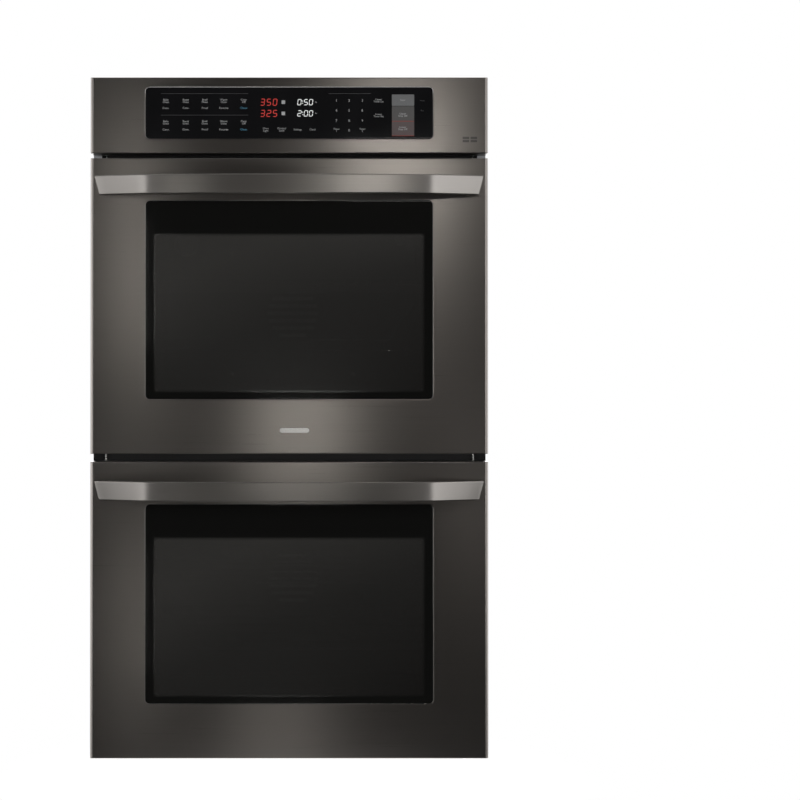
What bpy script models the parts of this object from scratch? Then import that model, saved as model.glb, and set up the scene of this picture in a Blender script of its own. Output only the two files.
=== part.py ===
"""Double wall oven: two insulated cavities, one above the other, each behind a
drop-down door, under one control fascia.

Units are metres, +Z is up and the front faces -Y. Everything is drawn with the
cabinet face at y = 0, then one root empty carries it back so that the middle of
the footprint lies on the origin. A comment gives the reason for a size only
where the name doesn't.
"""

import math

import bmesh
import bpy
from mathutils import Matrix, Vector

# ---------------------------------------------------------------- driving sizes

WIDTH = 0.756               # 29 3/4 in, over the doors
HEIGHT = 1.294
BODY_DEPTH = 0.5915         # rear panel's outer face, behind the cabinet face
HANDLE_FRONT = -0.105       # furthest point in front of the cabinet face
GAP = 0.0003                # between pieces that touch
SHEET = 0.0012              # folded sheet
CAVITY_SHEET = 0.002

DOOR_HEIGHT = 0.562
DOOR_FRONT = -0.050
DOOR_REAR = -0.008
OVENS = {"lower": 0.001, "upper": 0.578}    # height of each door's bottom edge
FASCIA = (1.1495, HEIGHT)
EDGE_RADIUS = 0.006         # folded front edges of the doors and the fascia

# Heights below are above the door's bottom edge.
PIVOT = (-0.024, 0.017)     # y and height of the door hinge
WINDOW = (0.273, 0.1040, 0.481)             # half width, bottom, top
WINDOW_RADIUS = 0.008
VIEW = (0.255, 0.119, 0.4165)                # clear part of the window
INNER_GLASS = (0.262, 0.112, 0.424)
PLUG = (0.300, 0.066, 0.490)
HANDLE_BAND = (0.4910, 0.5270)
HANDLE_HALF = (0.3570, 0.3665)              # half length at its bottom, at its top
HANDLE_BEND = 0.270
HANDLE_THICK = 0.011
CAVITY = (0.308, 0.059, 0.497, 0.498)       # half width, floor, top, back
CAVITY_RADIUS = 0.018
RACK_LEVELS = (0.134, 0.262)                # above the cavity floor
LEDGE_LEVELS = (0.070, 0.134, 0.198, 0.262, 0.326)
RACK_HALF = 0.303
RACK_DEPTH = (0.022, 0.447)
FAN_HEIGHT = 0.278
LAMP = (-0.235, 0.432)
LATCH_PIVOT = (-0.030, 0.025)
LATCH_BAND = (0.517, 0.521)
HINGE_X = 0.306
GLASS_BAND = (1.1775, 1.2755)               # control glass, bottom and top
BLOWER = (0.415, 1.168)                     # y and z of its shaft
SCREW_X = 0.3625
SCREW_HEIGHTS = (0.100, 0.500, 0.700, 1.100)
CONDUIT = (0.245, 1.215)

FACE_Y = -(BODY_DEPTH + HANDLE_FRONT) / 2   # carries the whole oven back

COLOURS = {
    "black_stainless": (0.20, 0.185, 0.175, 1.0),
    "handle_stainless": (0.33, 0.31, 0.295, 1.0),
    "black_glass": (0.012, 0.012, 0.013, 1.0),
    "inner_glass": (0.10, 0.11, 0.11, 1.0),
    "galvanised": (0.55, 0.56, 0.57, 1.0),
    "porcelain": (0.055, 0.060, 0.070, 1.0),
    "insulation": (0.78, 0.75, 0.62, 1.0),
    "rack_chrome": (0.70, 0.70, 0.70, 1.0),
    "element_sheath": (0.10, 0.095, 0.09, 1.0),
    "gasket_grey": (0.16, 0.16, 0.16, 1.0),
    "board_green": (0.05, 0.20, 0.10, 1.0),
    "motor_steel": (0.42, 0.42, 0.43, 1.0),
    "spring_steel": (0.50, 0.50, 0.50, 1.0),
    "lamp_glass": (0.85, 0.85, 0.80, 1.0),
}

# ---------------------------------------------------------------- scene helpers

for stale in list(bpy.data.objects):
    bpy.data.objects.remove(stale, do_unlink=True)

PARTS = bpy.data.collections.new("wall_oven")
TOOLS = bpy.data.collections.new("cutters")
for collection in (PARTS, TOOLS):
    bpy.context.scene.collection.children.link(collection)

ROOT = bpy.data.objects.new("oven_root", None)
ROOT.empty_display_size = 0.10
PARTS.objects.link(ROOT)

MATERIALS = {}
for label, colour in COLOURS.items():
    material = bpy.data.materials.new(label)
    material.diffuse_color = colour
    MATERIALS[label] = material


def piece(name, mesh, finish):
    """A visible piece that rides on the root."""
    obj = bpy.data.objects.new(name, mesh)
    obj.parent = ROOT
    PARTS.objects.link(obj)
    mesh.materials.append(MATERIALS[finish])
    return obj


def tool(name, mesh):
    """A hidden shape for a boolean."""
    obj = bpy.data.objects.new(name, mesh)
    obj.parent = ROOT
    TOOLS.objects.link(obj)
    obj.hide_render = True
    obj.display_type = "WIRE"
    return obj


def boolean(target, other, operation):
    modifier = target.modifiers.new(other.name, "BOOLEAN")
    modifier.operation = operation
    modifier.solver = "EXACT"
    modifier.object = other


def cut(target, name, mesh):
    boolean(target, tool(name, mesh), "DIFFERENCE")


def join(target, name, mesh):
    boolean(target, tool(name, mesh), "UNION")


def to_mesh(bm, name):
    bmesh.ops.recalc_face_normals(bm, faces=bm.faces)
    mesh = bpy.data.meshes.new(name)
    bm.to_mesh(mesh)
    bm.free()
    return mesh


def cube_into(bm, low, high):
    low, high = Vector(low), Vector(high)
    size = high - low
    matrix = Matrix.Translation((low + high) / 2) @ Matrix.Diagonal((*size, 1.0))
    return bmesh.ops.create_cube(bm, size=1.0, matrix=matrix)["verts"]


def boxes(name, spans):
    """Separate boxes, each given by its low and high corner."""
    bm = bmesh.new()
    for low, high in spans:
        cube_into(bm, low, high)
    return to_mesh(bm, name)


TURN = {
    "X": Matrix.Rotation(math.pi / 2, 4, "Y"),
    "Y": Matrix.Rotation(-math.pi / 2, 4, "X"),
    "Z": Matrix.Identity(4),
}


def cylinder_into(bm, axis, centre, radius, start, stop, sides=24, end_radius=None):
    """A cylinder from start to stop along axis; centre is its other two coordinates."""
    middle = (start + stop) / 2
    place = {
        "X": (middle, centre[0], centre[1]),
        "Y": (centre[0], middle, centre[1]),
        "Z": (centre[0], centre[1], middle),
    }[axis]
    bmesh.ops.create_cone(
        bm,
        cap_ends=True,
        cap_tris=False,
        segments=sides,
        radius1=radius,
        radius2=radius if end_radius is None else end_radius,
        depth=stop - start,
        matrix=Matrix.Translation(place) @ TURN[axis],
    )


def cylinders(name, axis, items, sides=24):
    """Separate cylinders: (centre, radius, start, stop) for each."""
    bm = bmesh.new()
    for centre, radius, start, stop in items:
        cylinder_into(bm, axis, centre, radius, start, stop, sides)
    return to_mesh(bm, name)


def edges_along(bm, axis, keep=None):
    """Edges parallel to an axis (0, 1 or 2) whose middle passes keep."""
    found = []
    for edge in bm.edges:
        step = edge.verts[1].co - edge.verts[0].co
        if abs(step[axis]) > 0.999 * step.length:
            middle = (edge.verts[0].co + edge.verts[1].co) / 2
            if keep is None or keep(middle):
                found.append(edge)
    return found


def rounded_block(name, low, high, axis, radius, segments=4):
    """A box whose four edges along one axis are rounded."""
    bm = bmesh.new()
    cube_into(bm, low, high)
    bmesh.ops.bevel(
        bm,
        geom=edges_along(bm, axis),
        offset=radius,
        segments=segments,
        profile=0.5,
        affect="EDGES",
    )
    return to_mesh(bm, name)


def tray_mesh(name, low, high, open_side, round_axis=None, radius=0.0, segments=4, keep=None):
    """A box without one face, ready for a solidify; open_side is like "+Y"."""
    bm = bmesh.new()
    cube_into(bm, low, high)
    if round_axis is not None:
        bmesh.ops.bevel(
            bm,
            geom=edges_along(bm, round_axis, keep),
            offset=radius,
            segments=segments,
            profile=0.5,
            affect="EDGES",
        )
    bmesh.ops.recalc_face_normals(bm, faces=bm.faces)
    wanted = Vector((0, 0, 0))
    wanted["XYZ".index(open_side[1])] = 1.0 if open_side[0] == "+" else -1.0
    lids = [face for face in bm.faces if face.normal.dot(wanted) > 0.999]
    bmesh.ops.delete(bm, geom=lids, context="FACES_ONLY")
    mesh = bpy.data.meshes.new(name)
    bm.to_mesh(mesh)
    bm.free()
    return mesh


def thicken(obj, wall):
    modifier = obj.modifiers.new("wall", "SOLIDIFY")
    modifier.thickness = wall
    modifier.offset = -1.0
    modifier.use_even_offset = True
    return obj


def tray(name, low, high, open_side, finish, wall=SHEET, **rounding):
    return thicken(piece(name, tray_mesh(name, low, high, open_side, **rounding), finish), wall)


def tray_tool(name, low, high, open_side, wall=SHEET):
    return thicken(tool(name, tray_mesh(name, low, high, open_side)), wall)


def tube(name, points, radius, finish, cyclic=False, sides=2):
    """A round bar bent along the points."""
    curve = bpy.data.curves.new(name, "CURVE")
    curve.dimensions = "3D"
    curve.bevel_depth = radius
    curve.bevel_resolution = sides
    curve.use_fill_caps = True
    spline = curve.splines.new("POLY")
    spline.points.add(len(points) - 1)
    for place, point in zip(spline.points, points):
        place.co = (*point, 1.0)
    spline.use_cyclic_u = cyclic
    obj = bpy.data.objects.new(name, curve)
    obj.parent = ROOT
    PARTS.objects.link(obj)
    curve.materials.append(MATERIALS[finish])
    return obj


def arc(centre, radius, start, stop, steps):
    """Points on a plane circle from start to stop, in radians."""
    cx, cy = centre
    turn = (stop - start) / steps
    return [
        (cx + radius * math.cos(start + turn * i), cy + radius * math.sin(start + turn * i))
        for i in range(steps + 1)
    ]


def axis_marker(name, place, axis):
    """An empty whose Z lies along a joint's axis."""
    marker = bpy.data.objects.new(name, None)
    marker.empty_display_type = "SINGLE_ARROW"
    marker.empty_display_size = 0.12
    marker.location = place
    marker.rotation_euler = Vector(axis).to_track_quat("Z", "Y").to_euler()
    marker.parent = ROOT
    PARTS.objects.link(marker)


def both_sides(low, high):
    """A box and its mirror image in x."""
    return [(low, high), ((-high[0], low[1], low[2]), (-low[0], high[1], high[2]))]


# --------------------------------------------------------------------- chassis


def side_panel(name, sign):
    def across(a, b):
        return (min(sign * a, sign * b), max(sign * a, sign * b))

    x0, x1 = across(0.3538, 0.3550)
    panel = piece(name, boxes(name, [((x0, 0.0004, 0.002), (x1, 0.590, 1.270))]), "galvanised")
    x0, x1 = across(0.3538, 0.3775)
    join(panel, name + "_flange", boxes("flange", [((x0, 0.0, 0.008), (x1, 0.0015, 1.286))]))
    cut(
        panel,
        name + "_screw_holes",
        cylinders(
            "holes",
            "Y",
            [((sign * SCREW_X, z), 0.0025, -0.004, 0.006) for z in SCREW_HEIGHTS],
        ),
    )
    louvres = [
        ((sign * 0.3544 - 0.004, 0.33 + 0.03 * i, 1.150), (sign * 0.3544 + 0.004, 0.335 + 0.03 * i, 1.235))
        for i in range(8)
    ]
    cut(panel, name + "_louvres", boxes("louvres", louvres))


def chassis():
    tray("base_pan", (-0.3533, 0.003, 0.0), (0.3533, 0.588, 0.010), "+Z", "galvanised")
    side_panel("left_side_panel", -1)
    side_panel("right_side_panel", 1)

    rear = piece(
        "rear_panel",
        boxes("rear_panel", [((-0.354, 0.5903, 0.002), (0.354, BODY_DEPTH, 1.270))]),
        "galvanised",
    )
    slots = [
        ((x, 0.585, z), (x + 0.060, 0.596, z + 0.006))
        for x in (-0.30, -0.21, -0.12)
        for z in (1.150, 1.170, 1.190, 1.210, 1.230)
    ]
    slots += [
        ((x, 0.585, z0 + 0.100 + 0.020 * i), (x + 0.060, 0.596, z0 + 0.106 + 0.020 * i))
        for z0 in OVENS.values()
        for x in (-0.30, 0.24)
        for i in range(3)
    ]
    cut(rear, "rear_vents", boxes("vents", slots))
    cut(rear, "rear_conduit_hole", cylinders("hole", "Y", [(CONDUIT, 0.016, 0.585, 0.596)], 32))

    top = tray("top_panel", (-0.3533, 0.003, 1.258), (0.3533, 0.5895, 1.271), "-Z", "galvanised")
    vents = [((-0.30 + 0.05 * i, 0.50, 1.250), (-0.294 + 0.05 * i, 0.56, 1.280)) for i in range(13)]
    cut(top, "top_vents", boxes("vents", vents))

    box = tray("junction_box", (0.200, 0.520, 1.180), (0.290, 0.5895, 1.250), "-Y", "galvanised")
    cut(box, "knock_out", cylinders("hole", "Y", [(CONDUIT, 0.011, 0.580, 0.596)], 48))

    divider = piece(
        "centre_divider",
        boxes("centre_divider", [((-0.350, 0.004, 0.541), (0.350, 0.006, 0.602))]),
        "galvanised",
    )
    pivot = OVENS["upper"] + PIVOT[1]
    openings = both_sides((0.300, 0.0, pivot - 0.008), (0.312, 0.010, pivot + 0.010))
    openings += [((x, 0.0, 0.560), (x + 0.060, 0.010, 0.568)) for x in (-0.28, -0.19, -0.10, 0.04, 0.13, 0.22)]
    cut(divider, "divider_openings", boxes("openings", openings))

    duct = piece(
        "air_duct",
        boxes("air_duct", [((-0.352, 0.004, 1.1200), (0.352, 0.588, 1.1212))]),
        "galvanised",
    )
    y, z = BLOWER
    boolean(duct, tray_tool("scroll", (-0.165, 0.36, 1.1205), (0.165, 0.47, 1.220), "-Y"), "UNION")
    join(duct, "blower_motor", cylinders("motor", "X", [((y, z), 0.030, 0.1642, 0.225)], 32))
    cut(duct, "blower_shaft_hole", cylinders("hole", "X", [((y, z), 0.0055, -0.175, 0.195)], 20))

    wheel = piece(
        "blower_wheel",
        cylinders("blower_wheel", "X", [((y, z), 0.004, -0.163, 0.190)], 16),
        "motor_steel",
    )
    join(
        wheel,
        "wheel_discs",
        cylinders("discs", "X", [((y, z), 0.032, x - 0.0012, x + 0.0012) for x in (-0.150, 0.0, 0.150)], 24),
    )
    bm = bmesh.new()
    for i in range(12):
        verts = cube_into(bm, (-0.150, 0.0215, -0.00075), (0.150, 0.0305, 0.00075))
        turn = Matrix.Translation((0, y, z)) @ Matrix.Rotation(i * math.tau / 12, 4, "X")
        bmesh.ops.transform(bm, matrix=turn, verts=verts)
    join(wheel, "wheel_vanes", to_mesh(bm, "vanes"))


def control():
    fascia = tray(
        "control_fascia",
        (-WIDTH / 2, DOOR_FRONT, FASCIA[0]),
        (WIDTH / 2, -GAP, FASCIA[1]),
        "+Y",
        "black_stainless",
        round_axis=2,
        radius=EDGE_RADIUS,
        keep=lambda middle: middle.y < -0.02,
    )
    half = 0.2735
    cut(
        fascia,
        "fascia_window",
        rounded_block(
            "window",
            (-half - 0.0004, -0.060, GLASS_BAND[0] - 0.0004),
            (half + 0.0004, -0.040, GLASS_BAND[1] + 0.0004),
            1,
            WINDOW_RADIUS + 0.0004,
        ),
    )
    piece(
        "control_glass",
        rounded_block(
            "control_glass",
            (-half, -0.0495, GLASS_BAND[0]),
            (half, -0.0465, GLASS_BAND[1]),
            1,
            WINDOW_RADIUS,
        ),
        "black_glass",
    )
    board = piece(
        "control_board",
        boxes("control_board", [((-0.250, -0.0445, 1.180), (0.250, -0.0425, 1.270))]),
        "board_green",
    )
    parts = [
        ((-0.22 + 0.028 * i, -0.0430, 1.240), (-0.20 + 0.028 * i, -0.026, 1.262)) for i in range(6)
    ]
    parts += [
        ((-0.21, -0.0430, 1.190), (-0.16, -0.020, 1.225)),
        ((-0.08, -0.0430, 1.195), (-0.05, -0.036, 1.225)),
        ((0.02, -0.0430, 1.190), (0.09, -0.032, 1.198)),
        ((0.12, -0.0430, 1.190), (0.20, -0.032, 1.198)),
        ((0.02, -0.0430, 1.240), (0.06, -0.034, 1.250)),
    ]
    join(board, "board_components", boxes("components", parts))


# ------------------------------------------------------------- one oven, behind


def cavity(side, z0):
    half, floor, top, back = CAVITY
    name = side + "_cavity"
    wall = CAVITY_SHEET
    shell = tray(
        name,
        (-half - wall, -0.002, z0 + floor - wall),
        (half + wall, back + wall, z0 + top + wall),
        "-Y",
        "porcelain",
        wall=wall,
        round_axis=1,
        radius=CAVITY_RADIUS + wall,
        segments=3,
    )
    flange = tool(
        name + "_front_flange",
        boxes("flange", [((-0.350, -0.0016, z0 + 0.036), (0.350, 0.0, z0 + 0.535))]),
    )
    boolean(
        flange,
        tool(
            name + "_flange_mouth",
            rounded_block(
                "mouth",
                (-half - 0.001, -0.010, z0 + floor - 0.001),
                (half + 0.001, 0.010, z0 + top + 0.001),
                1,
                CAVITY_RADIUS + 0.001,
                3,
            ),
        ),
        "DIFFERENCE",
    )
    boolean(
        flange,
        tool(
            name + "_latch_slot",
            boxes("slot", [((-0.027, -0.006, z0 + 0.514), (0.024, 0.006, z0 + 0.524))]),
        ),
        "DIFFERENCE",
    )
    ledges = []
    for level in LEDGE_LEVELS:
        z = z0 + floor + level
        ledges += both_sides((0.298, 0.020, z - 0.0083), (0.309, 0.450, z - GAP))
    join(shell, name + "_ledges", boxes("ledges", ledges))
    fan = z0 + FAN_HEIGHT
    holes = [
        ((0.0, fan), 0.0065, 0.490, 0.510),
        ((-0.018, fan - 0.098), 0.006, 0.490, 0.510),
        ((0.018, fan - 0.098), 0.006, 0.490, 0.510),
        ((-0.200, z0 + 0.475), 0.006, 0.490, 0.510),
        ((0.200, z0 + 0.475), 0.006, 0.490, 0.510),
        ((LAMP[0], z0 + LAMP[1]), 0.024, 0.490, 0.510),
    ]
    cut(shell, name + "_back_holes", cylinders("holes", "Y", holes, 20))
    boolean(shell, flange, "UNION")

    name = side + "_insulation"
    wool = piece(
        name,
        boxes(name, [((-0.336, 0.003, z0 + 0.024), (0.336, 0.526, z0 + 0.526))]),
        "insulation",
    )
    cut(
        wool,
        name + "_inside",
        boxes("inside", [((-0.3103, -0.010, z0 + 0.044), (0.3103, 0.5003, z0 + 0.4996))]),
    )
    cut(
        wool,
        name + "_latch_pocket",
        boxes("pocket", [((-0.085, -0.005, z0 + 0.480), (0.045, 0.065, z0 + 0.540))]),
    )
    holes = [
        ((0.0, fan), 0.046, 0.490, 0.540),
        ((-0.018, fan - 0.098), 0.009, 0.490, 0.540),
        ((0.018, fan - 0.098), 0.009, 0.490, 0.540),
        ((-0.200, z0 + 0.475), 0.009, 0.490, 0.540),
        ((0.200, z0 + 0.475), 0.009, 0.490, 0.540),
        ((LAMP[0], z0 + LAMP[1]), 0.034, 0.490, 0.540),
        ((-0.030, z0 + 0.0505), 0.0055, 0.490, 0.540),
        ((0.030, z0 + 0.0505), 0.0055, 0.490, 0.540),
    ]
    cut(wool, name + "_back_holes", cylinders("holes", "Y", holes, 20))


def heating(side, z0):
    z = z0 + 0.475
    front, back, half_turn = 0.100, 0.380, 0.040
    path = [(-0.200, 0.530, z), (-0.200, front, z)]
    x = -0.200
    ahead = True
    while x < 0.199:
        centre = (x + half_turn, front if ahead else back)
        sweep = (math.pi, math.tau) if ahead else (math.pi, 0.0)
        path += [(px, py, z) for px, py in arc(centre, half_turn, *sweep, 6)]
        x += 2 * half_turn
        ahead = not ahead
    path.append((x, 0.530, z))
    tube(side + "_broil_element", tidy_path(path), 0.0035, "element_sheath", sides=1)

    z = z0 + 0.0505
    r = 0.040
    path = [(-0.030, 0.530, z), (-0.030, 0.440, z)]
    path += [(x, y, z) for x, y in arc((-0.070, 0.440), r, 0.0, math.pi / 2, 3)][1:]
    path += [(x, y, z) for x, y in arc((-0.180, 0.440), r, math.pi / 2, math.pi, 3)]
    path += [(x, y, z) for x, y in arc((-0.180, 0.120), r, math.pi, 1.5 * math.pi, 3)]
    path += [(-x, y, z) for x, y, z in reversed(path)]
    tube(side + "_bake_element", tidy_path(path), 0.0035, "element_sheath", sides=1)

    centre = z0 + FAN_HEIGHT
    radius = 0.100
    gap = math.asin(0.018 / radius) + 0.14
    ring = [(x, 0.478, z) for x, z in arc((0.0, centre), radius, -math.pi / 2 + gap, 1.5 * math.pi - gap, 30)]
    leg = centre - 0.098
    path = [(0.018, 0.530, leg), (0.018, 0.482, leg), (0.024, 0.478, leg + 0.0012)] + ring
    path += [(-0.024, 0.478, leg + 0.0012), (-0.018, 0.482, leg), (-0.018, 0.530, leg)]
    tube(side + "_convection_element", path, 0.0032, "element_sheath", sides=1)


def tidy_path(points):
    """The path without repeated points."""
    kept = [points[0]]
    for point in points[1:]:
        if (Vector(point) - Vector(kept[-1])).length > 0.0005:
            kept.append(point)
    return kept


def circulation(side, z0):
    z = z0 + FAN_HEIGHT
    name = side + "_fan_cover"
    cover = tray(name, (-0.150, 0.455, z - 0.150), (0.150, 0.4975, z + 0.150), "+Y", "porcelain",
                 round_axis=1, radius=0.012, segments=2)
    slots = [
        ((-reach, 0.450, z + h - 0.004), (reach, 0.460, z + h + 0.004))
        for h, reach in ((-0.048, 0.030), (-0.032, 0.045), (-0.016, 0.052), (0.0, 0.055),
                         (0.016, 0.052), (0.032, 0.045), (0.048, 0.030))
    ]
    slots += [((x, 0.465, z - 0.110 + 0.044 * i), (x + 0.010, 0.490, z - 0.080 + 0.044 * i))
              for x in (-0.155, 0.145) for i in range(5)]
    cut(cover, name + "_slots", boxes("slots", slots))

    name = side + "_fan_motor"
    motor = piece(name, cylinders(name, "Y", [((0.0, z), 0.035, 0.5005, 0.545)], 32), "motor_steel")
    join(motor, name + "_end", cylinders("end", "Y", [((0.0, z), 0.026, 0.540, 0.575)], 32))
    cut(motor, name + "_bore", cylinders("bore", "Y", [((0.0, z), 0.0045, 0.495, 0.530)], 24))

    name = side + "_fan_blade"
    fan = piece(name, cylinders(name, "Y", [((0.0, z), 0.070, 0.4865, 0.4880)], 32), "motor_steel")
    join(fan, name + "_shaft", cylinders("shaft", "Y", [((0.0, z), 0.004, 0.4700, 0.5250)], 24))
    bm = bmesh.new()
    for i in range(8):
        verts = cube_into(bm, (0.012, 0.472, -0.0007), (0.066, 0.487, 0.0007))
        turn = Matrix.Translation((0.0, 0.0, z)) @ Matrix.Rotation(i * math.tau / 8, 4, "Y")
        bmesh.ops.transform(bm, matrix=turn, verts=verts)
    join(fan, name + "_vanes", to_mesh(bm, "vanes"))

    name = side + "_lamp"
    x, h = LAMP
    lamp = piece(name, cylinders(name, "Y", [((x, z0 + h), 0.030, 0.501, 0.545)], 24), "lamp_glass")
    join(lamp, name + "_lens", cylinders("lens", "Y", [((x, z0 + h), 0.0225, 0.482, 0.505)], 24))


def latch(side, z0):
    px, py = LATCH_PIVOT
    low, high = z0 + LATCH_BAND[0], z0 + LATCH_BAND[1]
    name = side + "_latch_hook"
    hook = piece(
        name,
        boxes(name, [((px - 0.002, py - 0.006, low), (px + 0.046, py + 0.006, high))]),
        "spring_steel",
    )
    join(hook, name + "_eye", cylinders("eye", "Z", [((px, py), 0.009, low, high)], 24))
    join(hook, name + "_prong", boxes("prong", [((px + 0.036, py - 0.018, low), (px + 0.046, py + 0.001, high))]))
    cut(hook, name + "_bore", cylinders("bore", "Z", [((px, py), 0.0033, low - 0.002, high + 0.002)], 24))

    name = side + "_latch_motor"
    motor = piece(
        name,
        boxes(name, [((-0.078, 0.004, z0 + 0.5135), (0.030, 0.055, z0 + 0.5155))]),
        "motor_steel",
    )
    join(motor, name + "_can", cylinders("can", "Z", [((-0.060, 0.035), 0.0175, z0 + 0.5140, z0 + 0.5370)], 24))
    join(motor, name + "_pin", cylinders("pin", "Z", [((px, py), 0.003, z0 + 0.5140, z0 + 0.5240)], 24))


def gasket(side, z0):
    half, low, high, r = 0.322, z0 + 0.047, z0 + 0.509, 0.024
    path = []
    for cx, cz, start in (
        (half - r, high - r, 0.0),
        (-half + r, high - r, math.pi / 2),
        (-half + r, low + r, math.pi),
        (half - r, low + r, 1.5 * math.pi),
    ):
        path += [(x, -0.005, z) for x, z in arc((cx, cz), r, start, start + math.pi / 2, 4)]
    tube(side + "_gasket", path, 0.0027, "gasket_grey", cyclic=True, sides=1)


def racks(side, z0):
    for label, level in zip(("low", "high"), RACK_LEVELS):
        name = side + "_" + label + "_rack"
        z = z0 + CAVITY[1] + level
        front, back = RACK_DEPTH
        rack = piece(name, boxes(name, [((-RACK_HALF, front, z), (RACK_HALF, back, z + 0.006))]), "rack_chrome")
        join(
            rack,
            name + "_upstand",
            boxes("upstand", [((-RACK_HALF, back - 0.006, z + 0.001), (RACK_HALF, back, z + 0.030))]),
        )
        pitch = 2 * (RACK_HALF - 0.008) / 16
        rows = ((front + 0.008, 0.2315), (0.2375, back - 0.014))
        gaps = [
            ((-RACK_HALF + 0.008 + pitch * i + 0.0025, y0, z - 0.003),
             (-RACK_HALF + 0.008 + pitch * (i + 1) - 0.0025, y1, z + 0.012))
            for i in range(16)
            for y0, y1 in rows
        ]
        cut(rack, name + "_gaps", boxes("gaps", gaps))
        windows = [
            ((-RACK_HALF + 0.010 + 0.0735 * i, back - 0.010, z + 0.010),
             (-RACK_HALF + 0.078 + 0.0735 * i, back + 0.004, z + 0.025))
            for i in range(8)
        ]
        cut(rack, name + "_upstand_windows", boxes("windows", windows))


def hinges(side, z0):
    y, h = PIVOT
    z = z0 + h
    for label, sign in (("left", -1), ("right", 1)):
        name = side + "_hinge_arm_" + label
        x0, x1 = sorted((sign * 0.303, sign * 0.309))
        arm = piece(name, boxes(name, [((x0, y, z - 0.005), (x1, 0.070, z + 0.005))]), "spring_steel")
        join(arm, name + "_eye", cylinders("eye", "X", [((y, z), 0.009, x0, x1)], 24))
        x0, x1 = sorted((sign * 0.2915, sign * 0.3205))
        join(arm, name + "_pin", cylinders("pin", "X", [((y, z), 0.004, x0, x1)], 24))

        coil = [(sign * HINGE_X, -0.030, z0 + 0.030), (sign * HINGE_X, -0.030, z0 + 0.056)]
        turns, per_turn, reach = 9, 8, 0.006
        for i in range(turns * per_turn + 1):
            angle = i * math.tau / per_turn
            coil.append((
                sign * HINGE_X + reach * math.cos(angle),
                -0.030 + reach * math.sin(angle),
                z0 + 0.060 + 0.140 * i / (turns * per_turn),
            ))
        coil += [(sign * HINGE_X, -0.030, z0 + 0.204), (sign * HINGE_X, -0.030, z0 + 0.230)]
        tube(side + "_hinge_spring_" + label, coil, 0.001, "spring_steel", sides=0)


# ---------------------------------------------------------------- one oven door


def handle_plan():
    """Half of the handle's plan, front edge from the middle out, then back."""
    front = []
    for i in range(9):
        x = HANDLE_BEND * i / 8
        front.append((x, HANDLE_FRONT + 0.0085 * (x / HANDLE_BEND) ** 2))
    tip = (HANDLE_HALF[1], -0.0690)
    back = [
        (HANDLE_HALF[1], DOOR_FRONT - GAP),
        (HANDLE_HALF[1] - 0.0240, DOOR_FRONT - GAP),
        (HANDLE_HALF[1] - 0.0240, -0.0640),
    ]
    inside = [(x, y + HANDLE_THICK) for x, y in reversed(front)]
    return front + [tip] + back + inside


def handle(side, z0):
    name = side + "_door_handle"
    low, high = z0 + HANDLE_BAND[0], z0 + HANDLE_BAND[1]
    half = handle_plan()
    outline = half + [(-x, y) for x, y in reversed(half) if x > 1e-6]
    bm = bmesh.new()
    verts = [bm.verts.new((x, y, low)) for x, y in outline]
    face = bm.faces.new(verts)
    grown = bmesh.ops.extrude_face_region(bm, geom=[face])["geom"]
    lifted = [item for item in grown if isinstance(item, bmesh.types.BMVert)]
    bmesh.ops.translate(bm, verts=lifted, vec=(0.0, 0.0, high - low))
    blade = piece(name, to_mesh(bm, name), "handle_stainless")
    lean = math.atan2(HANDLE_HALF[1] - HANDLE_HALF[0], high - low)
    bm = bmesh.new()
    for sign in (-1, 1):
        verts = cube_into(bm, (0.0, -0.130, -0.10), (0.050, -0.040, 0.10))
        if sign < 0:
            bmesh.ops.transform(bm, matrix=Matrix.Translation((-0.050, 0.0, 0.0)), verts=verts)
        place = Matrix.Translation((sign * HANDLE_HALF[0], 0.0, low)) @ Matrix.Rotation(sign * lean, 4, "Y")
        bmesh.ops.transform(bm, matrix=place, verts=verts)
    cut(blade, name + "_end_slants", to_mesh(bm, "slants"))


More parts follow.
